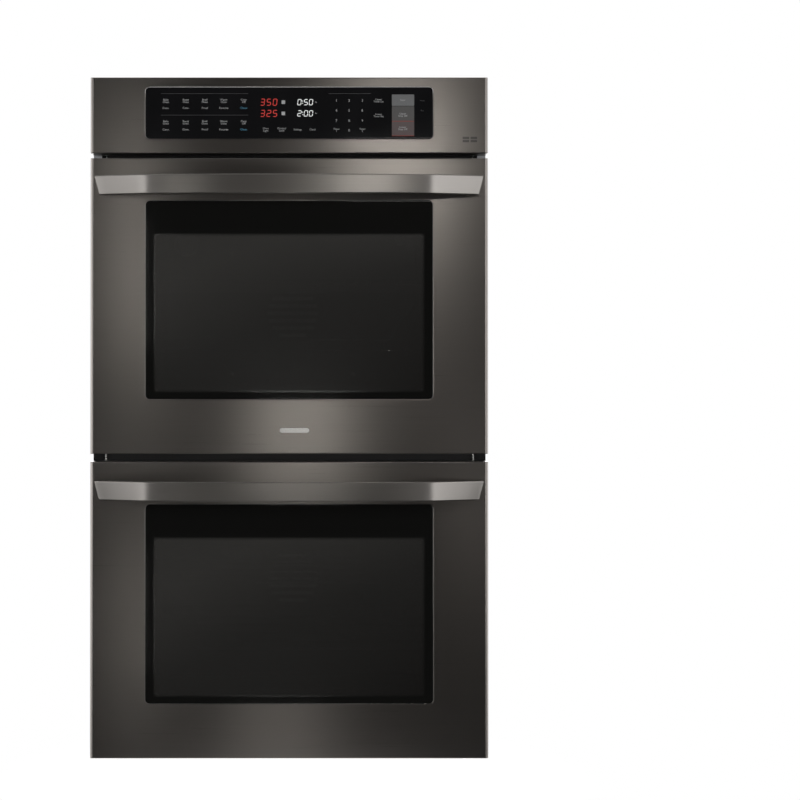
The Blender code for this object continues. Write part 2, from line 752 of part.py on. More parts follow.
def door(side, z0):
    half = WIDTH / 2
    name = side + "_door_skin"
    skin = tray(
        name,
        (-half, DOOR_FRONT, z0),
        (half, DOOR_REAR, z0 + DOOR_HEIGHT),
        "+Y",
        "black_stainless",
        round_axis=2,
        radius=EDGE_RADIUS,
        keep=lambda middle: middle.y < -0.02,
    )
    wx, wlow, whigh = WINDOW
    cut(
        skin,
        name + "_window",
        rounded_block(
            "window",
            (-wx - 0.0004, -0.060, z0 + wlow - 0.0004),
            (wx + 0.0004, -0.040, z0 + whigh + 0.0004),
            1,
            WINDOW_RADIUS + 0.0004,
        ),
    )
    cut(
        skin,
        name + "_hinge_notches",
        boxes("notches", both_sides((0.299, -0.031, z0 - 0.005), (0.313, 0.0, z0 + 0.004))),
    )
    piece(
        side + "_door_glass",
        rounded_block(
            "glass", (-wx, -0.0495, z0 + wlow), (wx, -0.0455, z0 + whigh), 1, WINDOW_RADIUS
        ),
        "black_glass",
    )
    handle(side, z0)

    name = side + "_door_frame"
    frame = piece(
        name, boxes(name, [((-0.330, -0.0450, z0 + 0.008), (0.330, -0.0420, z0 + 0.548))]), "galvanised"
    )
    vx, vlow, vhigh = VIEW
    cut(
        frame,
        name + "_window",
        rounded_block("window", (-vx, -0.050, z0 + vlow), (vx, -0.035, z0 + vhigh), 1, 0.010, 3),
    )
    channels = both_sides((0.293, -0.0425, z0 + 0.0090), (0.296, -0.0120, z0 + 0.300))
    channels += both_sides((0.316, -0.0425, z0 + 0.0090), (0.319, -0.0120, z0 + 0.300))
    join(frame, name + "_channels", boxes("channels", channels))
    y, h = PIVOT
    bores = [((y, z0 + h), 0.0041, s * 0.290 - 0.001, s * 0.290 + 0.033) if s > 0
             else ((y, z0 + h), 0.0041, -0.323, -0.289) for s in (-1, 1)]
    cut(frame, name + "_pin_bores", cylinders("bores", "X", bores, 24))

    name = side + "_door_liner"
    liner = tray(
        name,
        (-half + 0.0015, -0.0220, z0 + 0.0015),
        (half - 0.0015, DOOR_REAR, z0 + DOOR_HEIGHT - 0.0015),
        "-Y",
        "porcelain",
    )
    px, plow, phigh = PLUG
    cut(
        liner,
        name + "_plug_hole",
        boxes("hole", [((-px + 0.0006, -0.0150, z0 + plow + 0.0006), (px - 0.0006, 0.0, z0 + phigh - 0.0006))]),
    )
    boolean(
        liner,
        tray_tool(name + "_plug", (-px, -0.0096, z0 + plow), (px, -0.0024, z0 + phigh), "-Y"),
        "UNION",
    )
    gx, glow, ghigh = INNER_GLASS
    cut(
        liner,
        name + "_window",
        boxes("window", [((-gx - GAP, -0.0060, z0 + glow - GAP), (gx + GAP, 0.0010, z0 + ghigh + GAP))]),
    )
    cut(
        liner,
        name + "_latch_slot",
        boxes("slot", [((-0.027, -0.012, z0 + 0.514), (0.024, -0.004, z0 + 0.524))]),
    )
    cut(
        liner,
        name + "_hinge_slots",
        boxes("slots", both_sides((0.299, -0.030, z0 - 0.005), (0.313, 0.0, z0 + 0.024))),
    )
    piece(
        side + "_door_inner_glass",
        boxes("glass", [((-gx, -0.0054, z0 + glow), (gx, -0.0024, z0 + ghigh))]),
        "inner_glass",
    )


# ---------------------------------------------------------------------- assembly

chassis()
control()
for side, z0 in OVENS.items():
    cavity(side, z0)
    heating(side, z0)
    circulation(side, z0)
    latch(side, z0)
    gasket(side, z0)
    racks(side, z0)
    hinges(side, z0)
    door(side, z0)
    axis_marker("axis_" + side + "_door", (0.0, PIVOT[0], z0 + PIVOT[1]), (1, 0, 0))
    axis_marker("axis_" + side + "_fan", (0.0, 0.470, z0 + FAN_HEIGHT), (0, 1, 0))
    axis_marker("axis_" + side + "_latch", (*LATCH_PIVOT, z0 + LATCH_BAND[0]), (0, 0, -1))
    for level in RACK_LEVELS:
        axis_marker(
            "axis_%s_rack_%d" % (side, round(level * 1000)),
            (0.0, RACK_DEPTH[0], z0 + CAVITY[1] + level),
            (0, -1, 0),
        )
axis_marker("axis_blower", (0.0, *BLOWER), (1, 0, 0))

ROOT.location = (0.0, FACE_Y, 0.0)
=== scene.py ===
"""Looks of the double wall oven: every visible piece, its finish, and the studio."""

import math

import bmesh
import bpy
import numpy as np
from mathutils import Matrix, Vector


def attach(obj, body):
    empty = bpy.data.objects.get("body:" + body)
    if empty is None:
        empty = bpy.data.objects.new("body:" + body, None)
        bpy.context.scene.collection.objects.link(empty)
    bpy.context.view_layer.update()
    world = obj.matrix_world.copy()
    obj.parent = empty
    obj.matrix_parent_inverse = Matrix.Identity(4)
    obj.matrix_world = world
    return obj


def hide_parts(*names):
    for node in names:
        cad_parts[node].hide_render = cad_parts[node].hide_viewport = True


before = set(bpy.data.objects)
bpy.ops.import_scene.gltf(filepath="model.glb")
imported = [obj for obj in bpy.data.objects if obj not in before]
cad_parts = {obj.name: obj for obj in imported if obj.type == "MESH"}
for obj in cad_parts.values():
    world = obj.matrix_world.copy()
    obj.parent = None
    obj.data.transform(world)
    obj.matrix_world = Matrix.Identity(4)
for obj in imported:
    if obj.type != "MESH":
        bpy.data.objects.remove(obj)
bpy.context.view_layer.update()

# ------------------------------------------------------------------------ sizes
# Metres, with y measured from the cabinet face; FACE carries a shape to its place.

FACE = -0.24325
DOOR_BOTTOMS = {"lower": 0.001, "upper": 0.578}
DOOR_HEIGHT = 0.562
HALF_WIDTH = 0.378
DOOR_FRONT = -0.050
DOOR_REAR = -0.008
FASCIA_LOW, FASCIA_HIGH = 1.1495, 1.294
SIDE_FOLD = 0.0060
TOP_FOLD = 0.0020
WINDOW_HALF, WINDOW_LOW, WINDOW_HIGH = 0.273, 0.1040, 0.481
VIEW_HALF, VIEW_LOW, VIEW_HIGH = 0.255, 0.119, 0.4165
CONTROL_HALF, CONTROL_LOW, CONTROL_HIGH = 0.2735, 1.1775, 1.2755
GLASS_RADIUS = 0.008
CAVITY_FLOOR = 0.059
FAN_HEIGHT = 0.278
LAMP_X, LAMP_HEIGHT = -0.235, 0.432
HANDLE_LOW, HANDLE_HIGH = 0.4910, 0.5270
HANDLE_REACH = 0.3665
HANDLE_SLANT = 0.0095
HANDLE_BEND = 0.270
RACK_LEVELS = {"low": 0.134, "high": 0.262}
BROIL_HEIGHT = 0.475

# -------------------------------------------------------------------- mesh tools


def put(name, points, faces, body, finish, replaces=(), smooth=40.0, closed=True):
    """One piece from an array of points and quads or triangles. Closed shells get outward normals."""
    mesh = bpy.data.meshes.new(name)
    placed = np.array(points, dtype=np.float64).reshape(-1, 3)
    placed[:, 1] += FACE
    mesh.from_pydata(placed.tolist(), [], faces if isinstance(faces, list) else faces.tolist())
    bm = bmesh.new()
    bm.from_mesh(mesh)
    bmesh.ops.remove_doubles(bm, verts=bm.verts, dist=1e-6)
    if closed:
        bmesh.ops.recalc_face_normals(bm, faces=bm.faces)
    bm.to_mesh(mesh)
    bm.free()
    mesh.shade_smooth()
    mesh.set_sharp_from_angle(angle=math.radians(smooth))
    piece = bpy.data.objects.new(name, mesh)
    bpy.context.scene.collection.objects.link(piece)
    mesh.materials.append(finish)
    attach(piece, body)
    if replaces:
        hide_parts(*replaces)
    return piece


def skin(rings, closed=False):
    """Quads between neighbouring rings of equal length, with flat ends unless the rings are closed."""
    rings = np.asarray(rings, dtype=np.float64)
    count, around = rings.shape[:2]
    rows = np.arange(count if closed else count - 1)
    columns = np.arange(around)
    here = rows[:, None] * around + columns
    along = rows[:, None] * around + (columns + 1) % around
    following = ((rows + 1) % count)[:, None] * around
    quads = np.stack([here, along, following + (columns + 1) % around, following + columns], axis=-1)
    faces = quads.reshape(-1, 4).tolist()
    if not closed:
        faces.append(list(range(around - 1, -1, -1)))
        faces.append(list(range((count - 1) * around, count * around)))
    return rings.reshape(-1, 3), faces


def together(shapes):
    """Several (points, faces) shapes as one, each with its face indices moved past the last one's points."""
    points, faces, start = [], [], 0
    for shape_points, shape_faces in shapes:
        points.append(shape_points)
        faces += [[index + start for index in face] for face in shape_faces]
        start += len(shape_points)
    return np.concatenate(points), faces


def repeated(shape, offsets):
    """The shape at each offset, by adding every offset to every point."""
    points, faces = shape
    offsets = np.asarray(offsets, dtype=np.float64)
    moved = (points[None] + offsets[:, None]).reshape(-1, 3)
    starts = [step * len(points) for step in range(len(offsets))]
    copies = [[index + start for index in face] for start in starts for face in faces]
    return moved, copies


def outline(half, low, high, radius, corner=8, middle=0.0, guard=0.0004):
    """Rounded rectangle in x and z: four quarter circles about the corner centres, each with one more point
    a guard's length along the straight side before and after it, so flats stay flat in shading.
    Gives points and outward normals."""
    turn = np.concatenate([[0.0], np.linspace(0.0, 1.0, corner + 1), [1.0]])
    slip = np.tile(np.concatenate([[-guard], np.zeros(corner + 1), [guard]]), 4)
    angle = ((np.arange(4)[:, None] + turn) * (math.pi / 2)).ravel()
    signs = np.repeat(np.array([(1, 1), (-1, 1), (-1, -1), (1, -1)]), corner + 3, axis=0)
    centre = np.column_stack([
        middle + signs[:, 0] * (half - radius),
        np.where(signs[:, 1] > 0, high - radius, low + radius),
    ])
    normal = np.column_stack([np.cos(angle), np.sin(angle)])
    along = np.column_stack([-np.sin(angle), np.cos(angle)])
    return centre + radius * normal + slip[:, None] * along, normal


def ring(half, low, high, radius, y, corner=8, middle=0.0):
    """The rounded rectangle as a ring of points at depth y."""
    flat, _ = outline(half, low, high, radius, corner, middle)
    return np.column_stack([flat[:, 0], np.full(len(flat), y), flat[:, 1]])


def pillow(half, low, high, radius, front, rear, edge, corner=8, middle=0.0):
    """A slab with rounded front edges: each ring is edge*(1-cos a) in from the sides and edge*(1-sin a)
    behind the front, and one more ring keeps the front flat in shading."""
    guard = 0.0004

    def step(inset, least, y):
        return ring(half - inset, low + inset, high - inset, max(radius - inset, least), y, corner, middle)

    rings = [ring(half, low, high, radius, rear, corner, middle)]
    for a in np.linspace(0.0, math.pi / 2, 4):
        rings.append(step(edge * (1 - math.cos(a)), 1e-4, front + edge * (1 - math.sin(a))))
    rings.append(step(edge + guard, 5e-5, front))
    return skin(rings)


def swept(path, section, up, closed=False):
    """A section carried along a path: point = path + a*side + b*lift, where side is the tangent crossed
    with up and lift is side crossed with the tangent."""
    path = np.asarray(path, dtype=np.float64)
    section = np.asarray(section, dtype=np.float64)
    up = np.asarray(up, dtype=np.float64)
    if closed:
        tangent = np.roll(path, -1, axis=0) - np.roll(path, 1, axis=0)
    else:
        tangent = np.gradient(path, axis=0)
    tangent /= np.linalg.norm(tangent, axis=1)[:, None]
    side = np.cross(tangent, up)
    side /= np.linalg.norm(side, axis=1)[:, None]
    lift = np.cross(side, tangent)
    across, high = section[None, :, 0, None], section[None, :, 1, None]
    rings = path[:, None] + across * side[:, None] + high * lift[:, None]
    return skin(rings, closed=closed)


def circle(radius, sides=12):
    """Points round a circle: radius times cosine and sine of equal steps."""
    angle = np.arange(sides) * (2 * math.pi / sides)
    return radius * np.column_stack([np.cos(angle), np.sin(angle)])


def bar(half_wide, half_high, radius, corner=3):
    """A rounded rectangle section centred on the path."""
    guard = min(0.0004, (half_wide - radius) * 0.4, (half_high - radius) * 0.4)
    flat, _ = outline(half_wide, -half_high, half_high, radius, corner, guard=guard)
    return flat


def turned(profile, centre, axis="y", sides=24):
    """A profile of (radius, distance) turned about a line along one axis through centre."""
    profile = np.asarray(profile, dtype=np.float64)
    angle = np.arange(sides) * (2 * math.pi / sides)
    first = profile[:, 0, None] * np.cos(angle)
    second = profile[:, 0, None] * np.sin(angle)
    along = np.repeat(profile[:, 1, None], sides, axis=1)
    order = {"x": (along, first, second), "y": (first, along, second), "z": (first, second, along)}[axis]
    return skin(np.stack(order, axis=-1) + np.asarray(centre, dtype=np.float64))


def arc(centre, radius, start, stop, steps):
    """Points on a plane circle from start to stop, in radians."""
    angle = np.linspace(start, stop, steps + 1)
    return np.column_stack([centre[0] + radius * np.cos(angle), centre[1] + radius * np.sin(angle)])


def clean_path(points):
    """The path without points that repeat the one before."""
    points = np.asarray(points, dtype=np.float64)
    step = np.linalg.norm(np.diff(points, axis=0), axis=1)
    return points[np.concatenate([[True], step > 1e-5])]


def softened(points, spacing):
    """The path with points at equal distances, by linear interpolation on its length."""
    points = clean_path(points)
    length = np.concatenate([[0.0], np.cumsum(np.linalg.norm(np.diff(points, axis=0), axis=1))])
    marks = np.linspace(0.0, length[-1], max(2, int(length[-1] / spacing) + 1))
    return np.column_stack([np.interp(marks, length, points[:, i]) for i in range(3)])


# --------------------------------------------------------------------- finishes


class Finish:
    """A node material with short calls for the nodes this object needs."""

    def __init__(self, name, **sockets):
        self.material = bpy.data.materials.new(name)
        self.material.use_nodes = True
        self.tree = self.material.node_tree
        self.shader = self.tree.nodes["Principled BSDF"]
        for socket, value in sockets.items():
            self.shader.inputs[socket.replace("_", " ")].default_value = value

    def node(self, kind, **settings):
        node = self.tree.nodes.new(kind)
        for key, value in settings.items():
            setattr(node, key, value)
        return node

    def link(self, source, target):
        self.tree.links.new(source, target)

    def place(self, scale=(1, 1, 1), turn=(0, 0, 0)):
        """Object coordinates, stretched per axis."""
        coordinates = self.node("ShaderNodeTexCoord")
        mapping = self.node("ShaderNodeMapping")
        mapping.inputs["Scale"].default_value = scale
        mapping.inputs["Rotation"].default_value = turn
        self.link(coordinates.outputs["Object"], mapping.inputs["Vector"])
        return mapping.outputs["Vector"]

    def axes(self):
        """Object coordinates as separate X, Y and Z."""
        parts = self.node("ShaderNodeSeparateXYZ")
        self.link(self.place(), parts.inputs["Vector"])
        return parts.outputs

    def noise(self, scale, stretch=(1, 1, 1), detail=3.0, rough=0.5, distortion=0.0):
        noise = self.node("ShaderNodeTexNoise")
        noise.inputs["Scale"].default_value = scale
        noise.inputs["Detail"].default_value = detail
        noise.inputs["Roughness"].default_value = rough
        noise.inputs["Distortion"].default_value = distortion
        self.link(self.place(stretch), noise.inputs["Vector"])
        return noise.outputs["Fac"]

    def cells(self, scale, stretch=(1, 1, 1), output="Color", feature="F1"):
        cells = self.node("ShaderNodeTexVoronoi", feature=feature)
        cells.inputs["Scale"].default_value = scale
        self.link(self.place(stretch), cells.inputs["Vector"])
        return cells.outputs[output]

    def waves(self, scale, direction="X", stretch=(1, 1, 1), distortion=0.0):
        waves = self.node("ShaderNodeTexWave", bands_direction=direction)
        waves.inputs["Scale"].default_value = scale
        waves.inputs["Distortion"].default_value = distortion
        self.link(self.place(stretch), waves.inputs["Vector"])
        return waves.outputs["Fac"]

    def range(self, source, low, high, start=0.0, stop=1.0):
        """Maps start..stop onto low..high and holds the ends."""
        node = self.node("ShaderNodeMapRange")
        node.inputs["From Min"].default_value = start
        node.inputs["From Max"].default_value = stop
        node.inputs["To Min"].default_value = low
        node.inputs["To Max"].default_value = high
        self.link(source, node.inputs["Value"])
        return node.outputs["Result"]

    def ramp(self, source, stops):
        ramp = self.node("ShaderNodeValToRGB")
        elements = ramp.color_ramp.elements
        while len(elements) < len(stops):
            elements.new(0.5)
        for element, (position, colour) in zip(elements, stops):
            element.position = position
            element.color = (*colour, 1.0)
        self.link(source, ramp.inputs["Fac"])
        return ramp.outputs["Color"]

    def sum(self, first, second, operation="ADD"):
        node = self.node("ShaderNodeMath", operation=operation)
        for socket, value in zip(node.inputs, (first, second)):
            if isinstance(value, (int, float)):
                socket.default_value = value
            else:
                self.link(value, socket)
        return node.outputs["Value"]

    def weighed(self, first, share, second):
        """Two sources added, the first by its share and the second by the rest."""
        return self.sum(self.sum(first, share, "MULTIPLY"), self.sum(second, 1.0 - share, "MULTIPLY"))

    def blend(self, factor, first, second):
        """Colour between first and second."""
        node = self.node("ShaderNodeMix", data_type="RGBA")
        if isinstance(factor, (int, float)):
            node.inputs[0].default_value = factor
        else:
            self.link(factor, node.inputs[0])
        for socket, value in ((node.inputs[6], first), (node.inputs[7], second)):
            if isinstance(value, tuple):
                socket.default_value = (*value, 1.0)
            else:
                self.link(value, socket)
        return node.outputs[2]

    def into(self, source, socket):
        self.link(source, self.shader.inputs[socket])

    def tone(self, source, colour, darker, lighter, start=0.3, stop=0.7):
        """Base colour between a darker and a lighter version of one colour."""
        dark, light = (tuple(min(1.0, c * k) for c in colour) for k in (darker, lighter))
        self.into(self.ramp(source, [(start, dark), (stop, light)]), "Base Color")

    def bump(self, source, strength, distance):
        node = self.node("ShaderNodeBump")
        node.inputs["Strength"].default_value = strength
        node.inputs["Distance"].default_value = distance
        self.link(source, node.inputs["Height"])
        self.link(node.outputs["Normal"], self.shader.inputs["Normal"])

    def tangent(self):
        """Brushing direction round the upright axis."""
        node = self.node("ShaderNodeTangent", direction_type="RADIAL", axis="Z")
        self.link(node.outputs["Tangent"], self.shader.inputs["Tangent"])


def brushed(name, colour, roughness, anisotropy, bump=0.02):
    """Steel brushed along x: fine streaks vary its roughness and colour a little."""
    grain, tint = (3.0, 3.0, 1400.0), 0.045
    finish = Finish(name, Metallic=1.0, Anisotropic=anisotropy, Anisotropic_Rotation=0.25)
    streak = finish.noise(1.0, grain, detail=3.0, rough=0.55)
    cloud = finish.noise(2.2, detail=2.0)
    finish.into(finish.range(streak, roughness - 0.03, roughness + 0.03, 0.25, 0.75), "Roughness")
    finish.tone(finish.weighed(streak, 0.75, cloud), colour, 1 - tint, 1 + tint)
    if bump:
        finish.bump(streak, bump, 0.0001)
    finish.tangent()
    return finish.material


def zinc(name, colour, roughness=0.48, black_flange=False):
    """Galvanised sheet: crystals of slightly different grey, each with its own gloss. With black_flange the
    sheet is painted black up to 6 mm behind the cabinet face."""
    finish = Finish(name, Metallic=0.60)
    grey = finish.node("ShaderNodeRGBToBW")
    finish.link(finish.cells(110.0, (1, 1, 1.2)), grey.inputs["Color"])
    crystals = grey.outputs["Val"]
    cloud = finish.noise(9.0, detail=4.0)
    finish.tone(finish.weighed(crystals, 0.65, cloud), colour, 0.88, 1.08, 0.25, 0.75)
    if black_flange:
        sheet = finish.shader.inputs["Base Color"].links[0].from_socket
        bare = finish.range(finish.axes()["Y"], 0.0, 1.0, FACE + 0.0055, FACE + 0.0065)
        finish.into(finish.blend(bare, (0.010, 0.010, 0.010), sheet), "Base Color")
    finish.into(finish.range(crystals, roughness - 0.03, roughness + 0.05), "Roughness")
    finish.bump(cloud, 0.03, 0.0005)
    return finish.material


def enamel(name, colour, fleck, gloss=0.16):
    """Oven enamel: dark glaze with small pale flecks and a faint orange-peel surface."""
    finish = Finish(name, Coat_Weight=0.5, Coat_Roughness=0.06)
    dots = finish.cells(520.0, output="Distance")
    sizes = finish.noise(260.0, detail=1.0)
    away = finish.sum(dots, finish.sum(sizes, 0.35, "MULTIPLY"), "SUBTRACT")
    mask = finish.range(away, 1.0, 0.0, 0.00, 0.07)
    finish.into(finish.blend(mask, colour, fleck), "Base Color")
    cloud = finish.noise(60.0, detail=2.0)
    finish.into(finish.range(cloud, gloss, gloss + 0.12), "Roughness")
    finish.bump(cloud, 0.05, 0.0006)
    return finish.material


def plain_metal(name, colour, roughness, metallic=1.0, grain=400.0, spread=0.08, bump=0.03):
    """Pressed or drawn metal with fine speckle in its colour and gloss."""
    finish = Finish(name, Metallic=metallic)
    speckle = finish.noise(grain, detail=3.0)
    finish.tone(speckle, colour, 1 - spread, 1 + spread)
    finish.into(finish.range(speckle, roughness - 0.05, roughness + 0.07, 0.3, 0.7), "Roughness")
    finish.bump(speckle, bump, 0.0003)
    return finish.material


def oxidised(name):
    """Heating element sheath: dark green-grey oxide with browner patches."""
    finish = Finish(name, Metallic=0.6)
    patches = finish.noise(28.0, detail=5.0)
    oxide = [(0.30, (0.035, 0.038, 0.036)), (0.55, (0.075, 0.070, 0.062)), (0.80, (0.13, 0.10, 0.075))]
    finish.into(finish.ramp(patches, oxide), "Base Color")
    finish.into(finish.range(patches, 0.42, 0.62, 0.3, 0.7), "Roughness")
    finish.bump(finish.noise(900.0, detail=2.0), 0.10, 0.0002)
    return finish.material


def woven(name, colour, pitch):
    """Woven glass-fibre tube: crossed waves give the braid."""
    finish = Finish(name, Roughness=0.85, Sheen_Weight=0.25)
    over = finish.waves(pitch, "DIAGONAL")
    under = finish.waves(pitch, "DIAGONAL", (-1, 1, 1))
    braid = finish.sum(over, under, "MULTIPLY")
    finish.tone(braid, colour, 0.55, 1.35, 0.05, 0.70)
    finish.bump(braid, 0.35, 0.0006)
    return finish.material


def wool(name):
    """Mineral wool blanket: pale yellow felt of tangled fibres."""
    finish = Finish(name, Roughness=0.95)
    fibres = finish.noise(70.0, (1, 1, 2.5), detail=8.0, rough=0.7, distortion=1.2)
    finish.into(finish.ramp(fibres, [(0.30, (0.42, 0.36, 0.20)), (0.70, (0.78, 0.72, 0.50))]), "Base Color")
    finish.bump(fibres, 0.6, 0.003)
    return finish.material


def paint_glow(name, colour, strength):
    """Lit display segment."""
    lit = (*colour, 1.0)
    finish = Finish(name, Base_Color=lit, Roughness=0.5, Emission_Color=lit, Emission_Strength=strength)
    finish.bump(finish.noise(900.0, detail=1.0), 0.02, 0.0001)
    return finish.material


def printed(name, colour, roughness=0.55):
    """Screen-printed ink with a slightly uneven edge tone."""
    finish = Finish(name)
    mottle = finish.noise(700.0, detail=2.0)
    finish.tone(mottle, colour, 0.85, 1.08)
    finish.into(finish.range(mottle, roughness - 0.06, roughness + 0.06), "Roughness")
    return finish.material


def inside_box(finish, centre, half, soft):
    """1 inside a box in x and z and 0 outside, with a soft edge: the product of one ramp for each axis."""
    parts = finish.axes()
    masks = []
    for axis, middle, reach in (("X", centre[0], half[0]), ("Z", centre[1], half[1])):
        away = finish.sum(finish.sum(parts[axis], middle, "SUBTRACT"), 0.0, "ABSOLUTE")
        masks.append(finish.range(away, 1.0, 0.0, reach - soft, reach + soft))
    return finish.sum(masks[0], masks[1], "MULTIPLY")


# Colours of the painted reflection in the window glass: dark low and to the right, lighter high and to the
# left.
PAINTED_REFLECTION_TONES = [(0.05, (0.017, 0.016, 0.015)), (0.50, (0.034, 0.033, 0.031)), (0.80, (0.064, 0.062, 0.058))]


def window_glass(name, z0):
    """Outer door glass: opaque black border, and a clear area with a painted reflection that is lighter at
    the top left and thins down and to the right.
    """
    finish = Finish(name)
    middle = z0 + (VIEW_LOW + VIEW_HIGH) / 2
    mask = inside_box(finish, (0.0, middle), (VIEW_HALF, (VIEW_HIGH - VIEW_LOW) / 2), 0.0035)
    spread = finish.axes()
    # Painted reflection: a gradient by height and side with a little noise, standing in for light reflected
    # in the glass.
    reflection_by_height = finish.range(spread["Z"], 0.0, 0.55, z0 + VIEW_LOW, z0 + VIEW_HIGH)
    side = finish.range(spread["X"], 0.40, 0.0, -VIEW_HALF, VIEW_HALF)
    cloud = finish.sum(finish.noise(3.0, detail=2.0), 0.08, "MULTIPLY")
    clear = finish.ramp(finish.sum(finish.sum(reflection_by_height, side), cloud), PAINTED_REFLECTION_TONES)
    finish.into(finish.blend(mask, (0.008, 0.008, 0.0075), clear), "Base Color")
    finish.into(finish.range(mask, 0.05, 0.30), "Roughness")
    finish.into(finish.range(mask, 0.5, 0.2), "Specular IOR Level")
    finish.into(finish.range(mask, 1.0, 0.62), "Alpha")
    return finish.material


def clear_glass(name, colour, alpha):
    """Tinted glass with a very faint waviness."""
    finish = Finish(name, Base_Color=(*colour, 1.0), Alpha=alpha, Roughness=0.04)
    finish.bump(finish.noise(8.0, detail=1.0), 0.01, 0.0005)
    return finish.material


def gloss_black(name, colour=(0.010, 0.010, 0.011), roughness=0.09):
    """Black-backed glass with very faint waviness."""
    finish = Finish(name, Specular_IOR_Level=0.5)
    wave = finish.noise(14.0, detail=1.0)
    finish.tone(wave, colour, 0.9, 1.15)
    finish.into(finish.range(wave, roughness - 0.02, roughness + 0.02), "Roughness")
    return finish.material


def board(name):
    """Circuit board lacquer with faint tracks."""
    finish = Finish(name, Roughness=0.35)
    tracks = finish.cells(160.0, (1, 1, 1), output="Distance", feature="DISTANCE_TO_EDGE")
    finish.into(finish.ramp(tracks, [(0.02, (0.16, 0.36, 0.20)), (0.08, (0.02, 0.13, 0.06))]), "Base Color")
    finish.bump(tracks, 0.1, 0.0003)
    return finish.material


STEEL = brushed("black_stainless", (0.250, 0.232, 0.218), 0.30, 0.65)
HANDLE = brushed("handle_stainless", (0.270, 0.255, 0.241), 0.32, 0.50, bump=0.0)
ZINC = zinc("galvanised", (0.50, 0.51, 0.53))
FLANGED_ZINC = zinc("galvanised_black_flange", (0.50, 0.51, 0.53), black_flange=True)
ZINC_DARK = zinc("galvanised_duct", (0.44, 0.45, 0.47), 0.45)
ENAMEL = enamel("porcelain", (0.018, 0.020, 0.026), (0.30, 0.33, 0.38))
ENAMEL_LINER = enamel("porcelain_liner", (0.016, 0.017, 0.020), (0.16, 0.17, 0.20), 0.20)
CHROME = plain_metal("rack_chrome", (0.78, 0.78, 0.78), 0.16)
ELEMENT = oxidised("element_sheath")
BRAID = woven("gasket_grey", (0.16, 0.16, 0.165), 180.0)
WOOL = wool("insulation")
MOTOR = plain_metal("motor_steel", (0.46, 0.46, 0.47), 0.36)
SPRING = plain_metal("spring_steel", (0.42, 0.42, 0.44), 0.30)
SCREW = plain_metal("screw_steel", (0.70, 0.70, 0.68), 0.28)
BLACK_SCREW = plain_metal("black_screw", (0.09, 0.09, 0.095), 0.34)
BOARD = board("board_green")
BLACK_GLASS = gloss_black("black_glass", roughness=0.045)
INNER_GLASS = clear_glass("inner_glass", (0.10, 0.11, 0.105), 0.22)
LAMP_GLASS = clear_glass("lamp_glass", (0.80, 0.80, 0.74), 0.75)
CERAMIC = plain_metal("lamp_ceramic", (0.82, 0.80, 0.74), 0.5, metallic=0.0)
BLACK_PAINT = plain_metal("black_paint", (0.012, 0.012, 0.012), 0.55, metallic=0.0)
INK = printed("label_ink", (0.60, 0.61, 0.62))
FAINT_INK = printed("faint_ink", (0.055, 0.055, 0.058))
BLUE_INK = printed("blue_ink", (0.11, 0.38, 0.56))
KEY_GREY = printed("key_grey", (0.20, 0.205, 0.21))
KEY_DARK = printed("key_dark", (0.115, 0.112, 0.110))
KEY_WARM = printed("key_warm", (0.135, 0.105, 0.105))
KEY_RED = printed("key_red", (0.36, 0.06, 0.05))
FAINT_MARK = printed("faint_mark", (0.095, 0.088, 0.083))
RED_LIGHT = paint_glow("red_display", (0.62, 0.045, 0.035), 0.42)
WHITE_LIGHT = paint_glow("white_display", (0.82, 0.84, 0.84), 0.60)
BADGE = plain_metal("badge_metal", (0.88, 0.87, 0.85), 0.45, metallic=0.6)


# ------------------------------------------------------------- doors and fascia


def folded_panel(name, low, high, window, body, finish, replaces):
    """Folded sheet front with a window. Rings run out from the window's edge over the flat face, round a
    quarter fold that is wider on the sides than on the top and bottom, back along the returns, and inside
    again one sheet thickness in. Each ring is a rounded rectangle, inset by fold * (1 - sin a); its depth is
    fold * (1 - cos a), with the fold taken as a*a of the side's and b*b of the top's where (a, b) is the
    outline's normal."""
    half_window, window_low, window_high = window
    sheet = 0.0012

    def folded(angle, inset=0.0):
        in_x = inset + (SIDE_FOLD - inset) * (1 - math.sin(angle))
        in_z = inset + (TOP_FOLD - inset) * (1 - math.sin(angle))
        flat, normal = outline(HALF_WIDTH - in_x, low + in_z, high - in_z, 0.0012, 4)
        fold = normal[:, 0] ** 2 * SIDE_FOLD + normal[:, 1] ** 2 * TOP_FOLD
        depth = DOOR_FRONT + inset + (fold - inset) * (1 - math.cos(angle))
        return np.column_stack([flat[:, 0], depth, flat[:, 1]])

    def wall(inset, y):
        return ring(HALF_WIDTH - inset, low + inset, high - inset, 0.0012, y, 4)

    def mouth(grow, y):
        return ring(half_window + grow, window_low - grow, window_high + grow, GLASS_RADIUS + grow, y, 4)

    lips = ((0.0004, sheet + 0.0008), (0.0004, 0.0008), (0.0006, 0.0003), (0.0012, 0.0), (0.0020, 0.0))
    rings = [mouth(grow, DOOR_FRONT + back) for grow, back in lips]
    rings.append(ring(HALF_WIDTH - SIDE_FOLD - 0.0008, low + TOP_FOLD + 0.0005, high - TOP_FOLD - 0.0005,
                      0.0012, DOOR_FRONT, 4))
    rings += [folded(angle) for angle in np.linspace(0.0, math.pi / 2, 9)]
    fold_end = DOOR_FRONT + SIDE_FOLD + 0.0008
    rings += [wall(0.0, fold_end), wall(0.0, DOOR_REAR - 0.0004), wall(0.0004, DOOR_REAR),
              wall(sheet, DOOR_REAR), wall(sheet, fold_end)]
    rings += [folded(angle, sheet) for angle in np.linspace(math.pi / 2, 0.0, 4)]
    rings.append(mouth(0.0040, DOOR_FRONT + sheet))
    points, faces = skin(rings, closed=True)
    return put(name, points, faces, body, finish, replaces)


